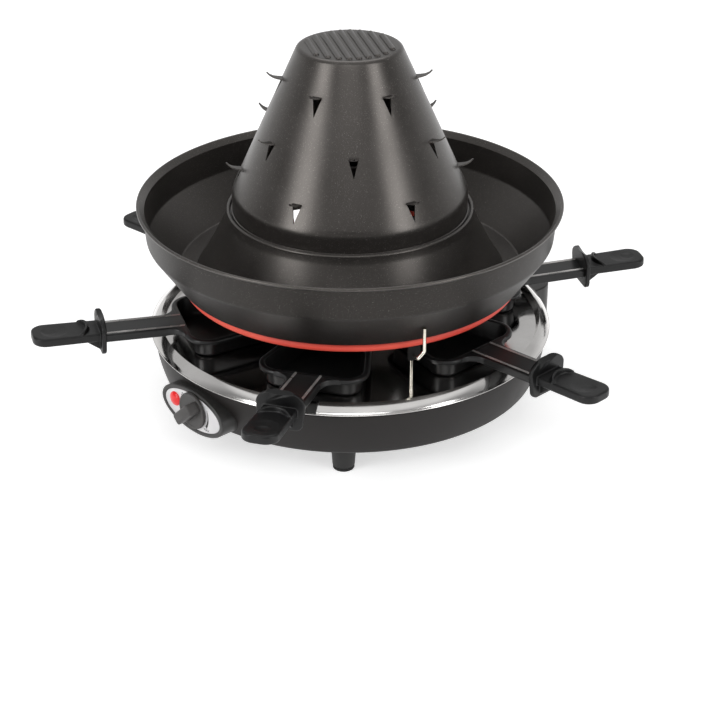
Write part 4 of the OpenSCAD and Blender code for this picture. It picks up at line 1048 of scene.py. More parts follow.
@dataclass
class ControlPanel:
    """Oval housing with its silver fascia, printed marks, lamp and knob."""

    brow: float = 1.6
    brow_drop: float = 0.3
    brow_rounds: Flat = (1.8, 1.2)
    mouth_round: float = 0.5
    fascia_a: float = 30.8
    fascia_b: float = 13.6
    fascia_t: float = 1.0
    fascia_sink: float = 0.4
    fascia_gap: float = 0.1
    fascia_edge: tuple[Flat, ...] = ((0, 0.25), (0.1, 0.08), (0.3, 0))
    wall: float = 2.4
    cavity: float = 3.4
    tray_gap: float = 0.1
    lamp_neck: float = 0.6
    lamp_rim: float = 1.0
    lamp_edge: float = 0.2
    lamp_dome: float = 1.6
    lamp_round: float = 0.5
    lamp_steps: int = 72
    knob_t: float = 2.2
    knob_round: float = 0.7
    knob_back_round: float = 0.3
    knob_border: float = 1.6
    knob_slope: float = 0.6
    knob_well: float = 0.25
    knob_well_rounds: Flat = (0.4, 0.3)
    knob_steps: int = 120
    grip_l: float = 21.8
    grip_w: float = 8.6
    grip_root: float = 0.6
    grip_round: float = 1.6
    grip_edge: tuple[Flat, ...] = ((0.0, 1.2), (0.2, 0.6), (0.55, 0.2), (1.1, 0))
    knob_turn: float = 47
    mark_t: float = 0.05
    arc_r: float = 15.7
    arc_wide: float = 2.0
    arc_thin: float = 0.3
    arc_from: float = 20
    arc_to: float = -35
    arc_steps: int = 28
    tick_turns: tuple[float, float] = (147, 154)
    tick_in: float = 14.4
    tick_out: float = 16.2
    tick_half: float = 0.35
    word: str = "MAX"
    word_h: float = 2.0
    capital_share: float = 0.7
    word_x: float = 12.7
    word_z: float = 29.8

    def build(self, paints: Paints, shell: BodyShell) -> None:
        """Builds the panel's pieces.

        Args:
            paints: Materials by slot.
            shell: The shell that the housing lies against.
        """
        box = NodeBox.of("control_housing")
        self._housing(paints, shell, box)
        self._fascia(paints, box)
        self._marks(paints, box)
        self._lamp(paints)
        self._knob(paints)

    def _housing(self, paints: Paints, shell: BodyShell, box: NodeBox) -> None:
        """Builds the rounded oval bezel and fits it to the shell and the tray.

        Args:
            paints: Materials by slot.
            shell: The shell that the piece lies against.
            box: Box of the housing's node.
        """
        front, back = -box.low.y, -box.high.y
        wide, high = (box.high.x - box.low.x) / 2, (box.high.z - box.low.z) / 2
        face = front - self.fascia_sink - self.fascia_t
        mouth = wide - self.fascia_a - self.fascia_gap
        edge = rounded_path([
            (0, back, 0), (0, front - self.brow_drop, self.brow_rounds[0]), (self.brow, front, self.brow_rounds[1]),
            (mouth, front - self.fascia_gap, self.mouth_round), (mouth, face, 0),
        ])
        narrow = (high - self.fascia_b) / (wide - self.fascia_a)
        rings = [
            upright(ellipse(wide - inset, high - inset * narrow), -out, box.middle.z) for inset, out in edge
        ]
        piece = MeshDraft().loft(rings).make("control_bezel", paints["housing_black"])
        inner = ellipse(wide - self.cavity - self.wall, high - self.cavity - self.wall)
        rings = [upright(inner, -out, box.middle.z) for out in (back - 1, face - self.wall)]
        carve(piece, MeshDraft().loft(rings).make("bezel_cavity", paints["housing_black"]))
        carve(piece, shell.space())
        tray = NodeBox.of("steel_tray")
        reach = tray.high.x + self.tray_gap
        outline = [(0, tray.low.z), (reach, tray.low.z), (reach, tray.high.z), (0, tray.high.z)]
        carve(piece, MeshDraft().lathe(outline, closed=False).make("tray_space", paints["housing_black"]))
        hand_over(piece, "base", "housing_black", "control_housing")

    def _fascia(self, paints: Paints, box: NodeBox) -> None:
        """Builds the silver fascia with a softened edge.

        Args:
            paints: Materials by slot.
            box: Box of the housing's node.
        """
        front = -box.low.y - self.fascia_sink
        rings = [
            upright(ellipse(self.fascia_a - inset, self.fascia_b - inset), -(front - behind), box.middle.z)
            for inset, behind in ((0, self.fascia_t), *self.fascia_edge)
        ]
        piece = MeshDraft().loft(rings).make("fascia_dressed", paints["fascia_silver"])
        hand_over(piece, "base", "fascia_silver", "fascia_plate")

    def _marks(self, paints: Paints, box: NodeBox) -> None:
        """Prints the tapered arc, the two ticks and the word of the top setting on the fascia.

        Args:
            paints: Materials by slot.
            box: Box of the housing's node.
        """
        centre = NodeBox.of("knob").middle
        front = -box.low.y - self.fascia_sink
        draft = MeshDraft()

        def band(outline: Sequence[Flat]) -> None:
            """Adds a thin flat mark with its outline in X and Z."""
            draft.loft([upright(outline, -front - lift) for lift in (0, self.mark_t)])

        outer, inner = [], []
        for i in range(self.arc_steps + 1):
            s = i / self.arc_steps
            turn = math.radians(self.arc_from + (self.arc_to - self.arc_from) * s)
            half = (self.arc_thin + (self.arc_wide - self.arc_thin) * s) / 2
            for edge, radius in ((outer, self.arc_r + half), (inner, self.arc_r - half)):
                edge.append((centre.x + radius * math.cos(turn), centre.z + radius * math.sin(turn)))
        band(outer + inner[::-1])
        middle = Vector((centre.x, centre.z))
        for direction in self.tick_turns:
            along = Vector((math.cos(math.radians(direction)), math.sin(math.radians(direction))))
            side = Vector((-along.y, along.x)) * self.tick_half
            low, high = along * self.tick_in, along * self.tick_out
            band([tuple(middle + spot) for spot in (low - side, high - side, high + side, low + side)])
        hand_over(draft.make("fascia_marks", paints["mark_black"]), "base", "fascia_silver")
        self._word(paints, front)

    def _word(self, paints: Paints, front: float) -> None:
        """Sets the plain word of the top setting on the fascia.

        Args:
            paints: Materials by slot.
            front: Distance of the fascia's face from the axis.
        """
        letters = bpy.data.curves.new("fascia_word", "FONT")
        letters.body = self.word
        letters.size = self.word_h / self.capital_share * MM
        letters.extrude = self.mark_t * MM
        piece = put("fascia_word", letters)
        graph = bpy.context.evaluated_depsgraph_get()
        mesh = bpy.data.meshes.new_from_object(piece.evaluated_get(graph))
        bpy.data.objects.remove(piece)
        mesh.transform(facing_front(self.word_x * MM, -front * MM, self.word_z * MM))
        mesh.materials.clear()
        mesh.materials.append(paints["mark_black"])
        hand_over(put("fascia_word", mesh), "base", "fascia_silver")

    def _lamp(self, paints: Paints) -> None:
        """Builds the domed lens of the lamp.

        Args:
            paints: Materials by slot.
        """
        box = NodeBox.of("lamp_lens")
        radius = (box.high.x - box.low.x) / 2
        front, back = -box.low.y, -box.high.y
        rim = front - self.lamp_dome
        dome_r = (radius ** 2 + self.lamp_dome ** 2) / (2 * self.lamp_dome)
        spread = math.degrees(math.asin((radius - self.lamp_round) / dome_r))
        neck, step = radius * self.lamp_neck, rim - self.lamp_rim
        outline = [(0.0, back), (neck, back), (neck, step), (radius, step), (radius, rim - self.lamp_edge)]
        outline += arc((0, front - dome_r), dome_r, 90 - spread, 90, 12)[:-1] + [(0.0, front)]
        draft = MeshDraft().lathe(outline, closed=False, steps=self.lamp_steps)
        draft.placed(facing_front(box.middle.x, 0, box.middle.z))
        hand_over(draft.make("lamp_lens_dressed", paints["lamp_red"]), "base", "lamp_red", "lamp_lens")

    def _knob(self, paints: Paints) -> None:
        """Builds the knob's flat disc with its bar grip.

        Args:
            paints: Materials by slot.
        """
        box = NodeBox.of("knob")
        radius = (box.high.x - box.low.x) / 2
        back, front = -box.high.y, -box.low.y
        disc = back + self.knob_t
        inner, well = radius - self.knob_border, disc - self.knob_well
        outline = rounded_path([
            (0, back, 0), (radius, back, self.knob_back_round), (radius, disc, self.knob_round),
            (inner, disc, self.knob_well_rounds[0]), (inner - self.knob_slope, well, self.knob_well_rounds[1]),
            (0, well, 0),
        ])
        draft = MeshDraft().lathe(outline, closed=False, steps=self.knob_steps)
        rise = front - disc
        profile = [(0.0, -self.grip_root)] + [(inset, rise - down) for inset, down in self.grip_edge]
        rings = []
        for inset, up in profile:
            long, wide = self.grip_l / 2 - inset, self.grip_w / 2 - inset
            corners = ((wide, long), (-wide, long), (-wide, -long), (wide, -long))
            bar = rounded_path([(x, y, self.grip_round) for x, y in corners], closed=True)
            rings.append(level(bar, disc + up))
        grip = MeshDraft().loft(rings).placed(Matrix.Rotation(math.radians(-self.knob_turn), 4, "Z"))
        draft.merge(grip).placed(facing_front(box.middle.x, 0, box.middle.z))
        hand_over(draft.make("knob_dressed", paints["knob_black"]), "temperature_knob", "knob_black", "knob")


@dataclass
class RearHousing:
    """Black housing at the back that holds the terminal block."""

    corner: float = 16
    edge: float = 1.6
    wall: float = 2
    inner_r: float = 98
    inner_round: float = 0.5
    corner_steps: int = 12
    gland_r: float = 5.7
    gland_past: float = 1
    gland_steps: int = 48

    def _block(self, inset: float, low: float, high: float, edge: float, box: NodeBox) -> MeshDraft:
        """Gives a rounded block, from its inset, its heights and the rounding of its edges.

        Args:
            inset: Distance inwards from the outline's edge.
            low: Height of the underside.
            high: Height of the top.
            edge: Rounding of the edges.
            box: Box of the housing's node.

        Returns:
            The block.
        """
        rings = []
        for step, z in rounded_path([(edge + 1, low, 0), (0, low, edge), (0, high, edge), (edge + 1, high, 0)]):
            gap = inset + step
            half, reach = box.high.x - gap, box.high.y - gap
            radius = max(self.corner - gap, 1)
            ring = rounded_path([
                (half, self.inner_r, self.inner_round), (half, reach, radius), (-half, reach, radius),
                (-half, self.inner_r, self.inner_round),
            ], closed=True, steps=self.corner_steps)
            rings.append(level(ring, z))
        return MeshDraft().loft(rings)

    def build(self, paints: Paints, shell: BodyShell) -> None:
        """Builds the hollow housing, open towards the shell.

        Args:
            paints: Materials by slot.
            shell: The shell that the piece lies against.
        """
        box = NodeBox.of("rear_housing")
        paint = paints["housing_black"]
        piece = self._block(0, box.low.z, box.high.z, self.edge, box).make("rear_housing_dressed", paint)
        hollow = self._block(self.wall, box.low.z + self.wall, box.high.z - self.wall, self.inner_round, box)
        carve(piece, hollow.make("rear_hollow", paint))
        carve(piece, shell.space())
        gland = NodeBox.of("cord_gland")
        length = gland.high.y - gland.low.y + 2 * self.gland_past
        outline = [(0, 0), (self.gland_r, 0), (self.gland_r, length), (0, length)]
        bore = MeshDraft().lathe(outline, closed=False, steps=self.gland_steps)
        bore.placed(facing_front(0, gland.high.y + self.gland_past, gland.middle.z))
        carve(piece, bore.make("gland_bore", paint))
        hand_over(piece, "base", "housing_black", "rear_housing")


@dataclass
class RaclettePans:
    """Six wedge pans with channel stems and moulded handles."""

    count: int = 6
    in_r: float = 48
    dish_l: float = 73
    in_half: float = 23
    out_half: float = 41
    in_round: float = 13
    out_round: float = 14
    depth: float = 15.5
    sheet_t: float = 1.2
    flange: float = 2.8
    skirt: float = 3.4
    draft_in: float = 2.6
    floor_edge: float = 3
    floor_flat: float = 6
    wall_round: float = 0.8
    flange_round: float = 0.5
    skirt_round: float = 0.3
    rim_round: float = 1.7
    mouth_round: float = 1.0
    corner_steps: int = 14
    neck_round: float = 12
    stem_l: float = 62
    stem_half: float = 12
    stem_t: float = 0.9
    stem_wall: float = 5.5
    stem_drop: float = 0.6
    stem_edge: float = 1.2
    neck_steps: int = 14
    bead_h: float = 0.7
    bead_half: float = 1.0
    bead_in: float = 3
    bead_form: tuple[Flat, ...] = ((-1, 0), (-0.5, 0.7), (0, 1), (0.5, 0.7), (1, 0))
    roll: float = 0.8
    roll_out: float = 0.4
    channel_in: float = 1.1
    channel_down: float = 1.6
    channel_round: float = 1.8
    screw_x: float = 16
    screw_sink: float = 0.7
    handle_l: float = 48
    handle_half: float = 13
    handle_taper: float = 1
    handle_t: float = 6.6
    handle_up: float = 1.8
    handle_round: float = 9
    handle_edge: float = 3
    under_round: float = 2.4
    upper_round: float = 1.6
    guard_half: float = 17.2
    guard_up: float = 13.5
    guard_down: float = 14.5
    guard_arch: float = 10
    guard_foot: float = 15.4
    guard_round: float = 5
    guard_t: float = 3.4
    guard_edge: float = 1.5
    guard_edge_round: float = 1.1
    lip_x: float = 22.4
    lip_r: float = 14.1
    lip_foot: Flat = (1.7, 2)
    lip_waist: Flat = (1.25, 0.6)
    lip_side: Flat = (1.0, 0.6)
    lip_crown: Flat = (0.5, 0.1)
    lip_h: float = 4
    lip_fall: float = 0.75
    lip_spread: float = 52
    lip_steps: int = 24
    thumb_x: float = 32
    thumb_r: float = 60
    thumb_sink: float = 0.8
    dimple_x: float = 35
    dimple_r: float = 18
    dimple_sink: float = 0.5
    gusset_l: float = 14
    gusset_half: float = 9
    gusset_rise: float = 2
    root: float = 1.7
    voxel: float = 0.42
    polish: int = 4
    thinned: float = 0.4
    moulded_sharp: float = 60

    @property
    def out_r(self) -> float:
        """Distance from the axis to the dish's outer end."""
        return self.in_r + self.dish_l

    @property
    def handle_low(self) -> float:
        """Height of the handle's underside."""
        return self.handle_up - self.handle_t

    def frames(self, k: int) -> tuple[Matrix, Matrix]:
        """Finds the places of a pan and of its stem from the frame.

        Args:
            k: Number of the pan.

        Returns:
            The dish's matrix and the stem's matrix.
        """
        axis = next(j for j in frame["joints"] if j["name"] == f"pan_{k}_out")["axis"]
        turn = Matrix.Rotation(math.atan2(axis[1], axis[0]), 4, "Z")
        screw = NodeBox.of(f"pan_screw_{k}")
        spot = turn.inverted() @ screw.middle
        floor = NodeBox.of(f"pan_{k}").low.z
        reach = self.stem_l + self.screw_x
        hang = -(screw.high.z - screw.low.z) / 2 + self.handle_up - self.screw_sink
        stem_z = self.depth - self.stem_drop
        rise = math.asin((spot.z - floor - stem_z - hang) / reach)
        pull = spot.x - self.out_r - reach * math.cos(rise) + hang * math.sin(rise)
        dish = turn @ Matrix.Translation((pull, spot.y, floor))
        stem = dish @ Matrix.Translation((self.out_r, 0, stem_z)) @ Matrix.Rotation(-rise, 4, "Y")
        return dish, stem

    def dish_ring(self, inset: float, z: float) -> list[Point]:
        """Gives the rounded wedge outline of the dish at an inset and a height.

        Args:
            inset: Distance inwards from the outline's edge.
            z: Height of the outline.

        Returns:
            Points of the closed outline.
        """
        tilt = math.atan2(self.out_half - self.in_half, self.dish_l)
        r_in, r_out = self.in_round - inset, self.out_round - inset
        x_in, x_out = self.in_r + inset + r_in, self.out_r - inset - r_out

        def centre(x: float, radius: float) -> Flat:
            """Gives the middle of a corner at x."""
            half = self.in_half + (x - self.in_r) * math.tan(tilt) - inset / math.cos(tilt)
            return x, half - radius / math.cos(tilt)

        side = 90 + math.degrees(tilt)
        upper = arc(centre(x_out, r_out), r_out, 0, side, self.corner_steps)
        upper += arc(centre(x_in, r_in), r_in, side, 180, self.corner_steps)
        return level(upper + [(x, -y) for x, y in upper[::-1]], z)

    def dish(self) -> MeshDraft:
        """Gives the dish with its rolled rim.

        Returns:
            The dish in the pan's frame.
        """
        floor_in = self.draft_in + self.floor_edge + self.floor_flat
        thick, low_rim = self.sheet_t, self.depth - self.skirt
        rim = self.depth - thick
        section = rounded_path([
            (floor_in, 0, 0), (self.draft_in, 0, self.floor_edge), (thick, rim, self.wall_round),
            (thick - self.flange, rim, self.flange_round), (thick - self.flange, low_rim, 0),
            (-self.flange, low_rim, self.skirt_round), (-self.flange, self.depth, self.rim_round),
            (thick, self.depth, self.mouth_round), (self.draft_in + thick, thick, self.floor_edge),
            (floor_in + thick, thick, 0),
        ])
        return MeshDraft().loft([self.dish_ring(inset, z) for inset, z in section])

    def stem_section(self, x: float, half: float, wall: float) -> list[Point]:
        """Gives the channel section of the stem.

        Args:
            x: Place along the stem.
            half: Half width there.
            wall: Depth of its side walls there.

        Returns:
            The closed ring of the section.
        """
        top = self.stem_t / 2
        bead = self.stem_half - self.bead_in
        right = [(bead + across * self.bead_half, top + rise * self.bead_h) for across, rise in self.bead_form]
        right += arc((half - self.stem_edge, top - self.stem_edge), self.stem_edge, 90, 0, 5)
        right += arc((half - self.roll + self.roll_out, -wall + self.roll), self.roll, 30, -180, 9)
        right += [(half - self.channel_in, -self.channel_down), (half - self.channel_round, -top), (bead, -top)]
        left = [(-y, z) for y, z in right[::-1]]
        return [(x, y, z) for y, z in right + left]

    def _mark_bead_highlights(self, draft: MeshDraft, sides: int) -> None:
        """Gives the bead faces of a stem, the first and last of its section, the second finish, which paints a
        highlight on them.

        Args:
            draft: The stem.
            sides: Points around its section.
        """
        bead_steps = len(self.bead_form) - 1
        for i, face in enumerate(draft.faces):
            column = face[0] % sides
            if len(face) == 4 and (column < bead_steps or sides - 1 - bead_steps <= column < sides - 1):
                draft.marks[i] = 1

    def stem(self) -> MeshDraft:
        """Gives the stem from the neck at the dish to the guard.

        Returns:
            The stem in its own frame.
        """
        foot = self.flange + self.neck_round
        rings = []
        steps = self.neck_steps
        for i in range(steps + 1):
            turn = math.radians(180 + 90 * i / steps)
            x = foot + self.neck_round * math.cos(turn)
            half = self.stem_half + self.neck_round * (1 + math.sin(turn))
            wall = self.skirt + (self.stem_wall - self.skirt) * (i / steps) ** 2
            rings.append(self.stem_section(x, half, wall))
        rings.insert(0, [(0, y, z) for _, y, z in rings[0]])
        rings.append(self.stem_section(self.stem_l - self.guard_t / 2, self.stem_half, self.stem_wall))
        draft = MeshDraft().loft(rings)
        self._mark_bead_highlights(draft, len(rings[0]))
        return draft

    def guard_outline(self, inset: float) -> list[Flat]:
        """Gives the arched outline of the guard at an inset.

        Args:
            inset: Distance inwards from the outline's edge.

        Returns:
            Points of the outline.
        """
        half = self.guard_half - inset
        shoulder = self.guard_up - self.guard_arch
        height = self.guard_arch - inset
        turns = [math.pi * i / 28 for i in range(29)]
        arch = [(half * math.cos(turn), shoulder + height * math.sin(turn)) for turn in turns]
        foot, low = self.guard_foot - inset, -self.guard_down + inset
        corner = rounded_path([
            (-half, shoulder, 0), (-foot, low, self.guard_round), (foot, low, self.guard_round), (half, shoulder, 0),
        ])
        return arch + corner[1:-1]

    def handle_outline(self, inset: float) -> list[Flat]:
        """Gives the handle's outline from above at an inset.

        Args:
            inset: Distance inwards from the outline's edge.

        Returns:
            Points of the outline.
        """
        half, tip = self.handle_half - inset, self.handle_l - inset
        back = self.handle_half - self.handle_taper - inset
        return rounded_path([
            (-self.guard_t / 2, -back, 0), (tip, -half, self.handle_round), (tip, half, self.handle_round),
            (-self.guard_t / 2, back, 0),
        ], steps=12)

    def lip(self) -> MeshDraft:
        """Gives the curved lip around the guard's end of the thumb rest.

        Returns:
            The lip in the handle's frame.
        """
        rings = []
        up = self.handle_up
        for i in range(self.lip_steps + 1):
            s = 2 * i / self.lip_steps - 1
            out = polar(1, 180 + self.lip_spread * s, 0)
            middle = Vector((self.lip_x, 0, 0)) + out * self.lip_r
            top = up + self.lip_h * (1 - self.lip_fall * abs(s) ** 3)
            half = [(self.lip_foot[0], up - self.lip_foot[1]), (self.lip_waist[0], up + self.lip_waist[1])]
            half += [(away, top - down) for away, down in (self.lip_side, self.lip_crown)]
            section = [(-away, z) for away, z in half] + half[::-1]
            rings.append([middle + out * away + Vector((0, 0, z)) for away, z in section])
        return MeshDraft().loft(rings)

    def handle(self, paints: Paints) -> bpy.types.Mesh:
        """Moulds the handle, its guard, lip and gusset into one skin.

        Args:
            paints: Materials by slot.

        Returns:
            The mesh in the handle's own frame, in metres.
        """
        draft = MeshDraft()
        low, up = self.handle_low, self.handle_up
        flat = self.handle_edge
        edge = rounded_path([
            (flat, low, 0), (0, low, self.under_round), (0, up, self.upper_round), (flat, up, 0),
        ])
        draft.loft([level(self.handle_outline(inset), z) for inset, z in edge])
        flat, back, rounding = self.guard_edge, -self.guard_t, self.guard_edge_round
        edge = rounded_path([(flat, back, 0), (0, back, rounding), (0, 0, rounding), (flat, 0, 0)])
        draft.loft([[(x, y, z) for y, z in self.guard_outline(inset)] for inset, x in edge])
        draft.merge(self.lip())
        foot, head = self.gusset_rise - self.guard_down, low + self.gusset_rise
        side = [(-self.root, head), (-self.root, foot), (0, foot), (self.gusset_l, head)]
        draft.loft([upright(side, y) for y in (-self.gusset_half, self.gusset_half)])
        piece = draft.make("handle_blank", paints["handle_black"])
        skin = piece.modifiers.new("skin", "REMESH")
        skin.mode = "VOXEL"
        skin.voxel_size = self.voxel * MM
        soft = piece.modifiers.new("soft", "SMOOTH")
        soft.factor = 0.5
        soft.iterations = self.polish
        settle(piece)
        self._hollow(piece.data)
        thin = piece.modifiers.new("thin", "DECIMATE")
        thin.ratio = self.thinned
        settle(piece)
        mesh = piece.data
        soften(mesh, math.radians(self.moulded_sharp))
        bpy.data.objects.remove(piece)
        return mesh

    def _hollow(self, mesh: bpy.types.Mesh) -> None:
        """Presses the thumb rest and its dimple into the handle's top.

        Args:
            mesh: The mesh to change.
        """
        for vertex in mesh.vertices:
            x, y, z = vertex.co / MM
            for middle, radius, sink in (
                (self.thumb_x, self.thumb_r, self.thumb_sink),
                (self.dimple_x, self.dimple_r, self.thumb_sink + self.dimple_sink),
            ):
                away = (x - middle) ** 2 + y ** 2
                bowl = self.handle_up - sink + radius - math.sqrt(max(radius ** 2 - away, 0))
                if bowl < z and z > self.handle_low + self.handle_edge:
                    z = bowl
            vertex.co.z = z * MM

    def build(self, paints: Paints) -> None:
        """Builds each pan and its handle.

        Args:
            paints: Materials by slot.
        """
        moulded = self.handle(paints)
        for k in range(1, self.count + 1):
            dish_place, stem_place = self.frames(k)
            pan = self.dish().placed(dish_place)
            pan.merge(self.stem().placed(stem_place))
            # The second finish paints highlights onto the stem beads
            piece = pan.make(f"pan_{k}_dressed", paints["pan_black"], paints["bead_painted_highlight"])
            body = f"raclette_pan_{k}"
            hand_over(piece, body, "pan_black", f"pan_{k}")
            place = stem_place @ Matrix.Translation((self.stem_l, 0, 0))
            mesh = moulded.copy()
            place.translation *= MM
            mesh.transform(place)
            hand_over(put(f"pan_handle_{k}_dressed", mesh), body, "handle_black", f"pan_handle_{k}")
        bpy.data.meshes.remove(moulded)


@dataclass
class BrothBowl:
    """Wide coated bowl with an inner dome and the hat's seat."""

    rim_h: float = 4.4
    wall_r: float = 151.4
    crease_r: float = 149.4
    crease_h: float = 30.6
    crease_round: float = 6
    bottom_r: float = 128.2
    corner: float = 3.5
    dome_foot_r: float = 113
    dome_foot_round: float = 5
    dome_top_r: float = 90.5
    dome_h: float = 50
    dome_sag: float = 1.5
    dome_steps: int = 24
    seat_r: float = 87.6
    seat_depth: float = 2.5
    seat_w: float = 8
    sheet_t: float = 1.6
    rim_round: float = 1.2
    rim_turns: Flat = (140, -60)
    turn_steps: int = 256
    outward: float = 0.2
    downward: float = 0.3

    def build(self, paints: Paints) -> None:
        """Builds the bowl as one turned sheet.

        Args:
            paints: Materials by slot.
        """
        box = NodeBox.of("broth_bowl")
        low, top, rim_r = box.low.z, box.high.z, box.high.x
        seat_z = low + self.dome_h - self.seat_depth
        under = seat_z - self.sheet_t
        flank = []
        for i in range(1, self.dome_steps + 1):
            s = i / self.dome_steps
            radius = self.dome_foot_r + (self.dome_top_r - self.sheet_t - self.dome_foot_r) * s
            flank.append((radius - 4 * self.dome_sag * s * (1 - s), low + (under - low) * s, 0.0))
        outer = rounded_path([
            (self.wall_r, top - self.rim_h, 0), (self.crease_r, low + self.crease_h, self.crease_round),
            (self.bottom_r, low, self.corner), (self.dome_foot_r, low, self.dome_foot_round),
        ] + flank + [(self.seat_r - self.seat_w, under, 0)])
        inside = beside(outer, -self.sheet_t)[::-1][2:]
        ridge = (self.dome_top_r - self.seat_r) / 2
        crest = arc((self.seat_r + ridge, low + self.dome_h - ridge), ridge, 180, 0, 10)
        seat = [(self.seat_r - self.seat_w, seat_z), (self.seat_r, seat_z)]
        rim = arc((rim_r - self.rim_round, top - self.rim_round), self.rim_round, *self.rim_turns, 12)
        draft = MeshDraft().lathe(outer + seat + crest + inside + rim, steps=self.turn_steps)
        piece = draft.make("broth_bowl_dressed", paints["bowl_coating"], paints["bowl_outside"])
        for face in piece.data.polygons:
            spot = face.center / MM
            outward = spot.xy.dot(face.normal.xy) > self.outward * spot.xy.length
            below = spot.xy.length > self.dome_foot_r and spot.z < top - self.rim_h
            if below and (outward or face.normal.z < -self.downward):
                face.material_index = 1
        hand_over(piece, "bowl", "bowl_coating", "broth_bowl")


@dataclass
class GrillHat:
    """Cone-shaped hat with punched hooks and a ribbed top."""

    skirt_r: float = 86
    skirt_h: float = 15.3
    top_r: float = 37
    shoulder_round: float = 16
    top_round: float = 4.5
    corner_steps: int = 12
    hem_w: float = 0.9
    hem_h: float = 1.4
    hem_slope: float = 0.3
    hem_rounds: Flat = (0.5, 0.3)
    sheet_t: float = 1.2
    turn_steps: int = 240
    longest_face: float = 3.0
    punch_reach: float = 4
    hook_count: int = 6
    hook_rows: tuple[float, ...] = (25.2, 56.7, 93)
    hook_turn: float = 19.8
    hook_w: float = 7.2
    hole_l: float = 14
    hook_reach: float = 12
    hook_t: float = 0.9
    tip_half: float = 0.35
    hook_path: tuple[Corner, ...] = (
        (-0.08, 0, 0), (0.24, -1.1, 3), (0.49, -1.7, 5), (0.77, -1.5, 4), (0.99, -0.5, 0),
    )
    rib_count: int = 9
    rib_pitch: float = 6.8
    rib_w: float = 4.4
    rib_h: float = 1.5
    rib_turn: float = 150
    rib_border: float = 4.4

    def build(self, paints: Paints) -> None:
        """Builds the sheet, its hooks and its ribs.

        Args:
            paints: Materials by slot.
        """
        box = NodeBox.of("grill_hat")
        low, top = box.low.z, box.high.z - self.rib_h
        slope = math.atan2(self.skirt_r - self.top_r, top - low - self.skirt_h)
        rows = []
        for i, height in enumerate(self.hook_rows):
            radius = self.skirt_r - (height - self.skirt_h) * math.tan(slope)
            turn = self.hook_turn + (180 / self.hook_count if i % 2 == 0 else 0)
            rows.append((radius, low + height, math.radians(turn)))
        self._sheet(paints, low, top, slope, rows)
        self._hooks(paints, slope, rows)
        self._ribs(paints, top)

    def _sheet(self, paints: Paints, low: float, top: float, slope: float, rows: Sequence[Corner]) -> None:
        """Builds the turned sheet with its hem and punches the holes.

        Args:
            paints: Materials by slot.
            low, top: Heights of the hem and of the top plate.
            slope: Lean of the cone's wall.
            rows: Radius, height and turn of each row of hooks.
        """
        hem_r, hem_z = self.skirt_r + self.hem_w, low + self.hem_h
        shoulder = low + self.skirt_h
        outer = rounded_path([
            (hem_r, low, 0), (hem_r, hem_z, self.hem_rounds[0]),
            (self.skirt_r, hem_z + self.hem_slope, self.hem_rounds[1]),
            (self.skirt_r, shoulder, self.shoulder_round), (self.top_r, top, self.top_round), (0, top, 0),
        ], steps=self.corner_steps)
        inner_r, under = self.skirt_r - self.sheet_t, top - self.sheet_t
        inner = rounded_path([
            (inner_r, low, 0), (inner_r, shoulder, self.shoulder_round),
            (self.top_r - self.sheet_t, under, self.top_round), (0, under, 0),
        ], steps=self.corner_steps)
        outline = self._subdivided(outer)[::-1] + self._subdivided(inner)
        draft = MeshDraft().lathe(outline, closed=False, steps=self.turn_steps)
        piece = draft.make("grill_hat_dressed", paints["hat_coating"])
        holes = MeshDraft()
        half = self.hole_l / 2
        outline = [(-self.hook_w / 2, half), (0, -half), (self.hook_w / 2, half)]
        for radius, height, turn in rows:
            for k in range(self.hook_count):
                place = Matrix.Rotation(turn + 2 * math.pi * k / self.hook_count, 4, "Z")
                place @= Matrix.Translation((radius, 0, height)) @ Matrix.Rotation(-slope, 4, "Y")
                reach = self.punch_reach
                holes.loft([[place @ Vector((x, y, z)) for y, z in outline] for x in (-reach, reach)])
        carve(piece, holes.make("hook_holes", paints["bare_edge"]))
        hand_over(piece, "hat", "hat_coating", "grill_hat")

    def _subdivided(self, path: Sequence[Flat]) -> list[Flat]:
        """Divides the long runs of a path, so that its faces stay small.

        Args:
            path: Points of the path.

        Returns:
            The path with more points.
        """
        dense = [path[0]]
        for (x, y), (x_end, y_end) in zip(path, path[1:]):
            parts = max(1, math.ceil(math.dist((x, y), (x_end, y_end)) / self.longest_face))
            dense += [(x + (x_end - x) * i / parts, y + (y_end - y) * i / parts) for i in range(1, parts + 1)]
        return dense

    def _tongue(self, paints: Paints) -> bpy.types.Object:
        """Builds one hook: a tapered tongue whose tip turns up.

        Args:
            paints: Materials by slot.

        Returns:
            The hook's object.
        """
        root = self.hole_l / 2
        path = rounded_path([(s * self.hook_reach, root + lift, bend) for s, lift, bend in self.hook_path], steps=4)
        over = beside(path, self.hook_t)
        halves = [max(self.tip_half, self.hook_w / 2 * (1 - max(x, 0) / self.hook_reach)) for x, _ in path]
        rings = [
            [(x, -half, z), (x, half, z), (x_over, half, z_over), (x_over, -half, z_over)]
            for (x, z), (x_over, z_over), half in zip(path, over, halves)
        ]
        return MeshDraft().loft(rings).make("hook_tongue", paints["hat_coating"])

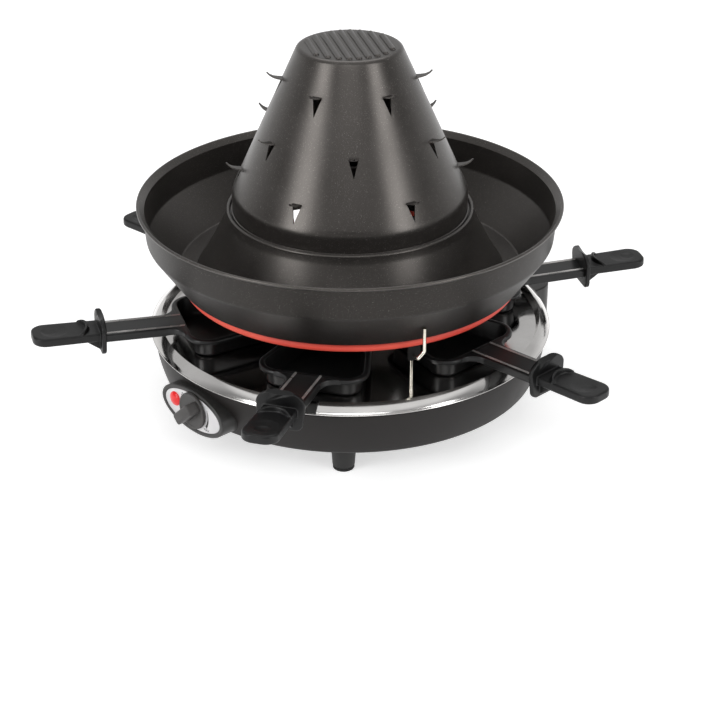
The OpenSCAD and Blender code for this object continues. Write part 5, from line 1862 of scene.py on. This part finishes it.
    @staticmethod
    def _hook_tree() -> bpy.types.NodeTree:
        """Builds the node tree that sets one row of hooks around the cone.

        Returns:
            The group's tree.
        """
        w, entry, leave = new_group("hook_row", "GeometryNodeTree", {
            "Geometry": SHAPE, "Count": COUNT, "Radius": VALUE, "Height": VALUE, "Turn": VALUE,
            "Slope": VALUE, "Coating": COATING,
        }, {"Geometry": SHAPE})
        w.tree.is_modifier = True
        circle = w.node("GeometryNodeMeshCircle", {"Vertices": entry["Count"], "Radius": entry["Radius"]})
        index = w.node("GeometryNodeInputIndex").outputs[0]
        turn = w.math("DIVIDE", w.math("MULTIPLY", index, 2 * math.pi), entry["Count"])
        row = w.node("GeometryNodeInstanceOnPoints", {
            "Points": circle.outputs[0], "Instance": entry["Geometry"],
            "Rotation": w.rotation(y=w.math("MULTIPLY", entry["Slope"], -1.0), z=turn),
        })
        moved = w.node("GeometryNodeTransform", {
            "Geometry": row.outputs[0], "Translation": w.vector(z=entry["Height"]),
            "Rotation": w.rotation(z=entry["Turn"]),
        })
        w.tree.links.new(w.finish(moved.outputs[0], entry["Coating"]), leave["Geometry"])
        return w.tree

    def _hooks(self, paints: Paints, slope: float, rows: Sequence[Corner]) -> None:
        """Sets the hooks of all rows and joins them into one piece.

        Args:
            paints: Materials by slot.
            slope: Lean of the cone's wall.
            rows: Radius, height and turn of each row.
        """
        tree = self._hook_tree()
        parts = []
        for radius, height, turn in rows:
            piece = self._tongue(paints)
            run_nodes(piece, tree, {
                "Count": self.hook_count, "Radius": radius * MM, "Height": height * MM, "Turn": turn,
                "Slope": slope, "Coating": paints["hat_coating"],
            })
            parts.append(piece)
        hand_over(join_meshes("hat_hooks", parts), "hat", "hat_coating")

    @staticmethod
    def _rib_tree() -> bpy.types.NodeTree:
        """Builds the node tree that lays round-ended ribs side by side within a circle.

        Returns:
            The group's tree.
        """
        w, entry, leave = new_group("top_ribs", "GeometryNodeTree", {
            "Geometry": SHAPE, "Count": COUNT, "Pitch": VALUE, "Width": VALUE, "Height": VALUE,
            "Reach": VALUE, "Level": VALUE, "Turn": VALUE, "Coating": COATING,
        }, {"Geometry": SHAPE})
        w.tree.is_modifier = True
        gaps = w.math("SUBTRACT", entry["Count"], 1.0)
        first = w.math("MULTIPLY", gaps, w.math("MULTIPLY", entry["Pitch"], -0.5))
        line = w.node("GeometryNodeMeshLine", {
            "Count": entry["Count"], "Start Location": w.vector(y=first), "Offset": w.vector(y=entry["Pitch"]),
        })
        y = w.node("ShaderNodeSeparateXYZ", {0: w.node("GeometryNodeInputPosition").outputs[0]}).outputs[1]
        squares = [w.math("POWER", value, 2.0) for value in (entry["Reach"], y)]
        half = w.math("SQRT", w.math("SUBTRACT", *squares))
        bar = w.node("GeometryNodeCurvePrimitiveLine", {"Start": (-1.0, 0.0, 0.0), "End": (1.0, 0.0, 0.0)})
        ribs = w.node("GeometryNodeInstanceOnPoints", {
            "Points": line.outputs[0], "Instance": bar.outputs[0], "Scale": w.vector(half, 1.0, 1.0),
        })
        curves = w.node("GeometryNodeRealizeInstances", {0: ribs.outputs[0]})
        fine = w.node("GeometryNodeResampleCurve", {"Curve": curves.outputs[0], "Length": 0.5 * MM}, mode="LENGTH")
        along = w.node("GeometryNodeSplineParameter").outputs["Length"]
        length = w.node("GeometryNodeSplineLength").outputs[0]
        end = w.math("MINIMUM", along, w.math("SUBTRACT", length, along))
        round_r = w.math("MULTIPLY", entry["Width"], 0.5)
        near = w.math("MINIMUM", w.math("DIVIDE", end, round_r), 1.0)
        swell = w.math("SQRT", w.math("SUBTRACT", 1.0001, w.math("POWER", w.math("SUBTRACT", 1.0, near), 2.0)))
        disc = w.node("GeometryNodeCurvePrimitiveCircle", {"Resolution": 24, "Radius": round_r})
        flat = w.math("DIVIDE", entry["Height"], round_r)
        oval = w.node("GeometryNodeTransform", {"Geometry": disc.outputs[0], "Scale": w.vector(1.0, flat, 1.0)})
        skin = w.node("GeometryNodeCurveToMesh", {
            "Curve": fine.outputs[0], "Profile Curve": oval.outputs[0], "Scale": swell, "Fill Caps": True,
        })
        smooth = w.node("GeometryNodeSetShadeSmooth", {"Geometry": skin.outputs[0]})
        moved = w.node("GeometryNodeTransform", {
            "Geometry": smooth.outputs[0], "Translation": w.vector(z=entry["Level"]),
            "Rotation": w.rotation(z=entry["Turn"]),
        })
        w.tree.links.new(w.finish(moved.outputs[0], entry["Coating"]), leave["Geometry"])
        return w.tree

    def _ribs(self, paints: Paints, top: float) -> None:
        """Lays the ribs on the top plate.

        Args:
            paints: Materials by slot.
            top: Height of the top plate.
        """
        piece = put("hat_ribs", bpy.data.meshes.new("hat_ribs"))
        run_nodes(piece, self._rib_tree(), {
            "Count": self.rib_count, "Pitch": self.rib_pitch * MM, "Width": self.rib_w * MM,
            "Height": self.rib_h * MM, "Reach": (self.top_r - self.rib_border) * MM, "Level": top * MM,
            "Turn": math.radians(self.rib_turn), "Coating": paints["hat_coating"],
        })
        hand_over(piece, "hat", "hat_coating")


def run_nodes(piece: bpy.types.Object, tree: bpy.types.NodeTree, inputs: dict[str, object]) -> None:
    """Runs a geometry tree on a piece and keeps the result as a plain mesh.

    Args:
        piece: The piece that the tree works on.
        tree: The tree.
        inputs: Value of each named input.
    """
    modifier = piece.modifiers.new(tree.name, "NODES")
    modifier.node_group = tree
    for item in tree.interface.items_tree:
        if item.item_type == "SOCKET" and item.in_out == "INPUT" and item.name in inputs:
            modifier[item.identifier] = inputs[item.name]
    settle(piece)
    face_outwards(piece.data)
    soften(piece.data)


def join_meshes(name: str, parts: Sequence[bpy.types.Object]) -> bpy.types.Object:
    """Joins plain pieces with the same finishes into one and discards them.

    Args:
        name: Name of the joined piece.
        parts: The pieces.

    Returns:
        The joined piece.
    """
    grid = bmesh.new()
    for part in parts:
        grid.from_mesh(part.data)
    mesh = bpy.data.meshes.new(name)
    grid.to_mesh(mesh)
    grid.free()
    for material in parts[0].data.materials:
        mesh.materials.append(material)
    soften(mesh)
    for part in parts:
        bpy.data.objects.remove(part)
    return put(name, mesh)


def dress_nodes(paints: Paints) -> None:
    """Gives every frame node the finish of its slot, apart from the element's clips under the bowl, which get a near
    black painted shade.

    Args:
        paints: Materials by slot.
    """
    for row in frame["record"]["subparts"]:
        node = frame["nodes"][row["node"]]
        node.data.materials.clear()
        # The element's clips get the near black painted shade instead of their slot's finish
        node.data.materials.append(paints["painted_shade_dark" if row["node"] in PAINTED_SHADE_NODES else row["material_slot"]])


@dataclass(frozen=True)
class Softbox:
    """A rectangular light that faces the grill; lengths in metres, power in watts."""

    name: str
    place: Corner
    width: float
    height: float
    power: float

    def hang(self, aim: Corner) -> None:
        """Hangs the light so that it faces a point.

        Args:
            aim: The point to face.
        """
        data = bpy.data.lights.new(self.name, "AREA")
        data.shape = "RECTANGLE"
        data.size = self.width
        data.size_y = self.height
        data.energy = self.power
        look(put(self.name, data), self.place, aim)


def look(thing: bpy.types.Object, eye: Corner, aim: Corner) -> None:
    """Places a camera or a light and turns it to a point."""
    thing.location = eye
    thing.rotation_euler = (Vector(aim) - Vector(eye)).to_track_quat("-Z", "Y").to_euler()


@dataclass
class Studio:
    """White floor, soft boxes and the camera; lengths in metres."""

    eye: Corner = (0.89654, -0.82002, 0.67533)
    aim: Corner = (0.00494, 0.00536, 0.02561)
    lens: float = 90.0
    sensor: float = 36.0
    sight: float = 100.0
    lit_point: Corner = (0, 0, 0.13)
    lights: tuple[Softbox, ...] = (
        Softbox("key_left", (-0.16, -2.0, 0.9), 0.8, 1.7, 20),
        Softbox("fill_right", (1.97, 0.33, 0.85), 0.7, 1.7, 16),
        Softbox("front_top", (1.1, -1.0, 1.42), 1.2, 0.5, 5),
        Softbox("top_back", (-0.7, 0.7, 1.9), 1.6, 0.9, 8),
    )
    floor_size: float = 30.0
    floor_colour: float = 0.84
    floor_lift: float = 0.55
    world_level: float = 0.55
    room_from: float = -0.5
    room_to: float = 0.1
    room_level: float = 0.3
    back_level: float = 0.65
    room_low: float = 0.12
    room_high: float = 0.42
    ceiling_from: float = 0.68
    ceiling_to: float = 0.85

    def build(self) -> None:
        """Sets up the camera, the floor, the lights and the view."""
        scene = bpy.context.scene
        scene.view_settings.view_transform = "Standard"
        self._camera(scene)
        self._floor()
        self._world(scene)
        for light in self.lights:
            light.hang(self.lit_point)

    def _camera(self, scene: bpy.types.Scene) -> None:
        """Places the camera at the photograph's view.

        Args:
            scene: The scene to set up.
        """
        data = bpy.data.cameras.new("view")
        data.lens = self.lens
        data.sensor_width = self.sensor
        data.clip_end = self.sight
        scene.camera = put("view", data)
        look(scene.camera, self.eye, self.aim)

    @staticmethod
    def _seen(w: Wiring) -> bpy.types.NodeSocket:
        """Gives 1 for rays that show the background: straight, mirrored or through glass.

        Args:
            w: The wiring of the tree.

        Returns:
            The socket of that value.
        """
        path = w.node("ShaderNodeLightPath").outputs
        either = w.math("MAXIMUM", path["Is Camera Ray"], path["Is Glossy Ray"])
        return w.math("MAXIMUM", either, path["Is Transmission Ray"])

    def _floor(self) -> None:
        """Builds the pale floor, lifted to white where it is seen, which keeps the shadow."""
        half = self.floor_size / 2
        mesh = bpy.data.meshes.new("floor")
        corners = [(-half, -half, 0), (half, -half, 0), (half, half, 0), (-half, half, 0)]
        mesh.from_pydata(corners, [], [(0, 1, 2, 3)])
        material = bpy.data.materials.new("floor_white")
        material.use_nodes = True
        material.node_tree.nodes.clear()
        w = Wiring(material.node_tree)
        shade = w.node("ShaderNodeBsdfDiffuse", {"Color": (self.floor_colour,) * 3 + (1.0,)})
        lift = w.node("ShaderNodeEmission", {"Strength": w.math("MULTIPLY", self._seen(w), self.floor_lift)})
        both = w.node("ShaderNodeAddShader", {0: shade.outputs[0], 1: lift.outputs[0]})
        w.node("ShaderNodeOutputMaterial", {"Surface": both.outputs[0]})
        mesh.materials.append(material)
        put("floor", mesh)

    def _world(self, scene: bpy.types.Scene) -> None:
        """Lights the scene evenly, shows white to the camera, and a room with a bright back to gloss.

        Args:
            scene: The scene to set up.
        """
        world = bpy.data.worlds.new("studio")
        scene.world = world
        world.use_nodes = True
        world.node_tree.nodes.clear()
        w = Wiring(world.node_tree)
        towards = Vector((self.eye[0], self.eye[1], 0)).normalized()
        way = w.node("ShaderNodeTexCoord").outputs["Generated"]
        facing = w.node("ShaderNodeVectorMath", {0: way, 1: towards}, operation="DOT_PRODUCT").outputs["Value"]
        height = w.node("ShaderNodeSeparateXYZ", {0: way}).outputs["Z"]
        room, upper, ceiling = (
            w.node("ShaderNodeMapRange", dict(enumerate(values))).outputs[0] for values in (
                (facing, self.room_from, self.room_to, 1.0, self.room_level),
                (height, self.room_low, self.room_high, 1.0, self.back_level),
                (height, self.ceiling_from, self.ceiling_to, 0.0, 1.0),
            )
        )
        dim = w.math("MAXIMUM", w.math("MINIMUM", room, upper), ceiling)
        shown = w.math("MAXIMUM", dim, w.node("ShaderNodeLightPath").outputs["Is Camera Ray"])
        level = w.node("ShaderNodeMapRange", {0: self._seen(w), 3: self.world_level, 4: shown})
        light = w.node("ShaderNodeBackground", {"Strength": level.outputs[0]})
        w.node("ShaderNodeOutputWorld", {"Surface": light.outputs[0]})


def main() -> None:
    """Builds the grill piece by piece, then the studio."""
    logging.basicConfig(level=logging.INFO, format="%(name)s %(message)s")
    effects = SurfaceEffects()
    paints = {finish.slot: finish.build(effects) for finish in FINISHES}
    dress_nodes(paints)
    Studio().build()
    shell = BodyShell()
    for part in (shell, SteelTray(), Feet(), RingElement(), WireSupports()):
        part.build(paints)
    for part in (ControlPanel(), RearHousing()):
        part.build(paints, shell)
    for part in (RaclettePans(), BrothBowl(), GrillHat()):
        part.build(paints)


if __name__ == "__main__":
    main()
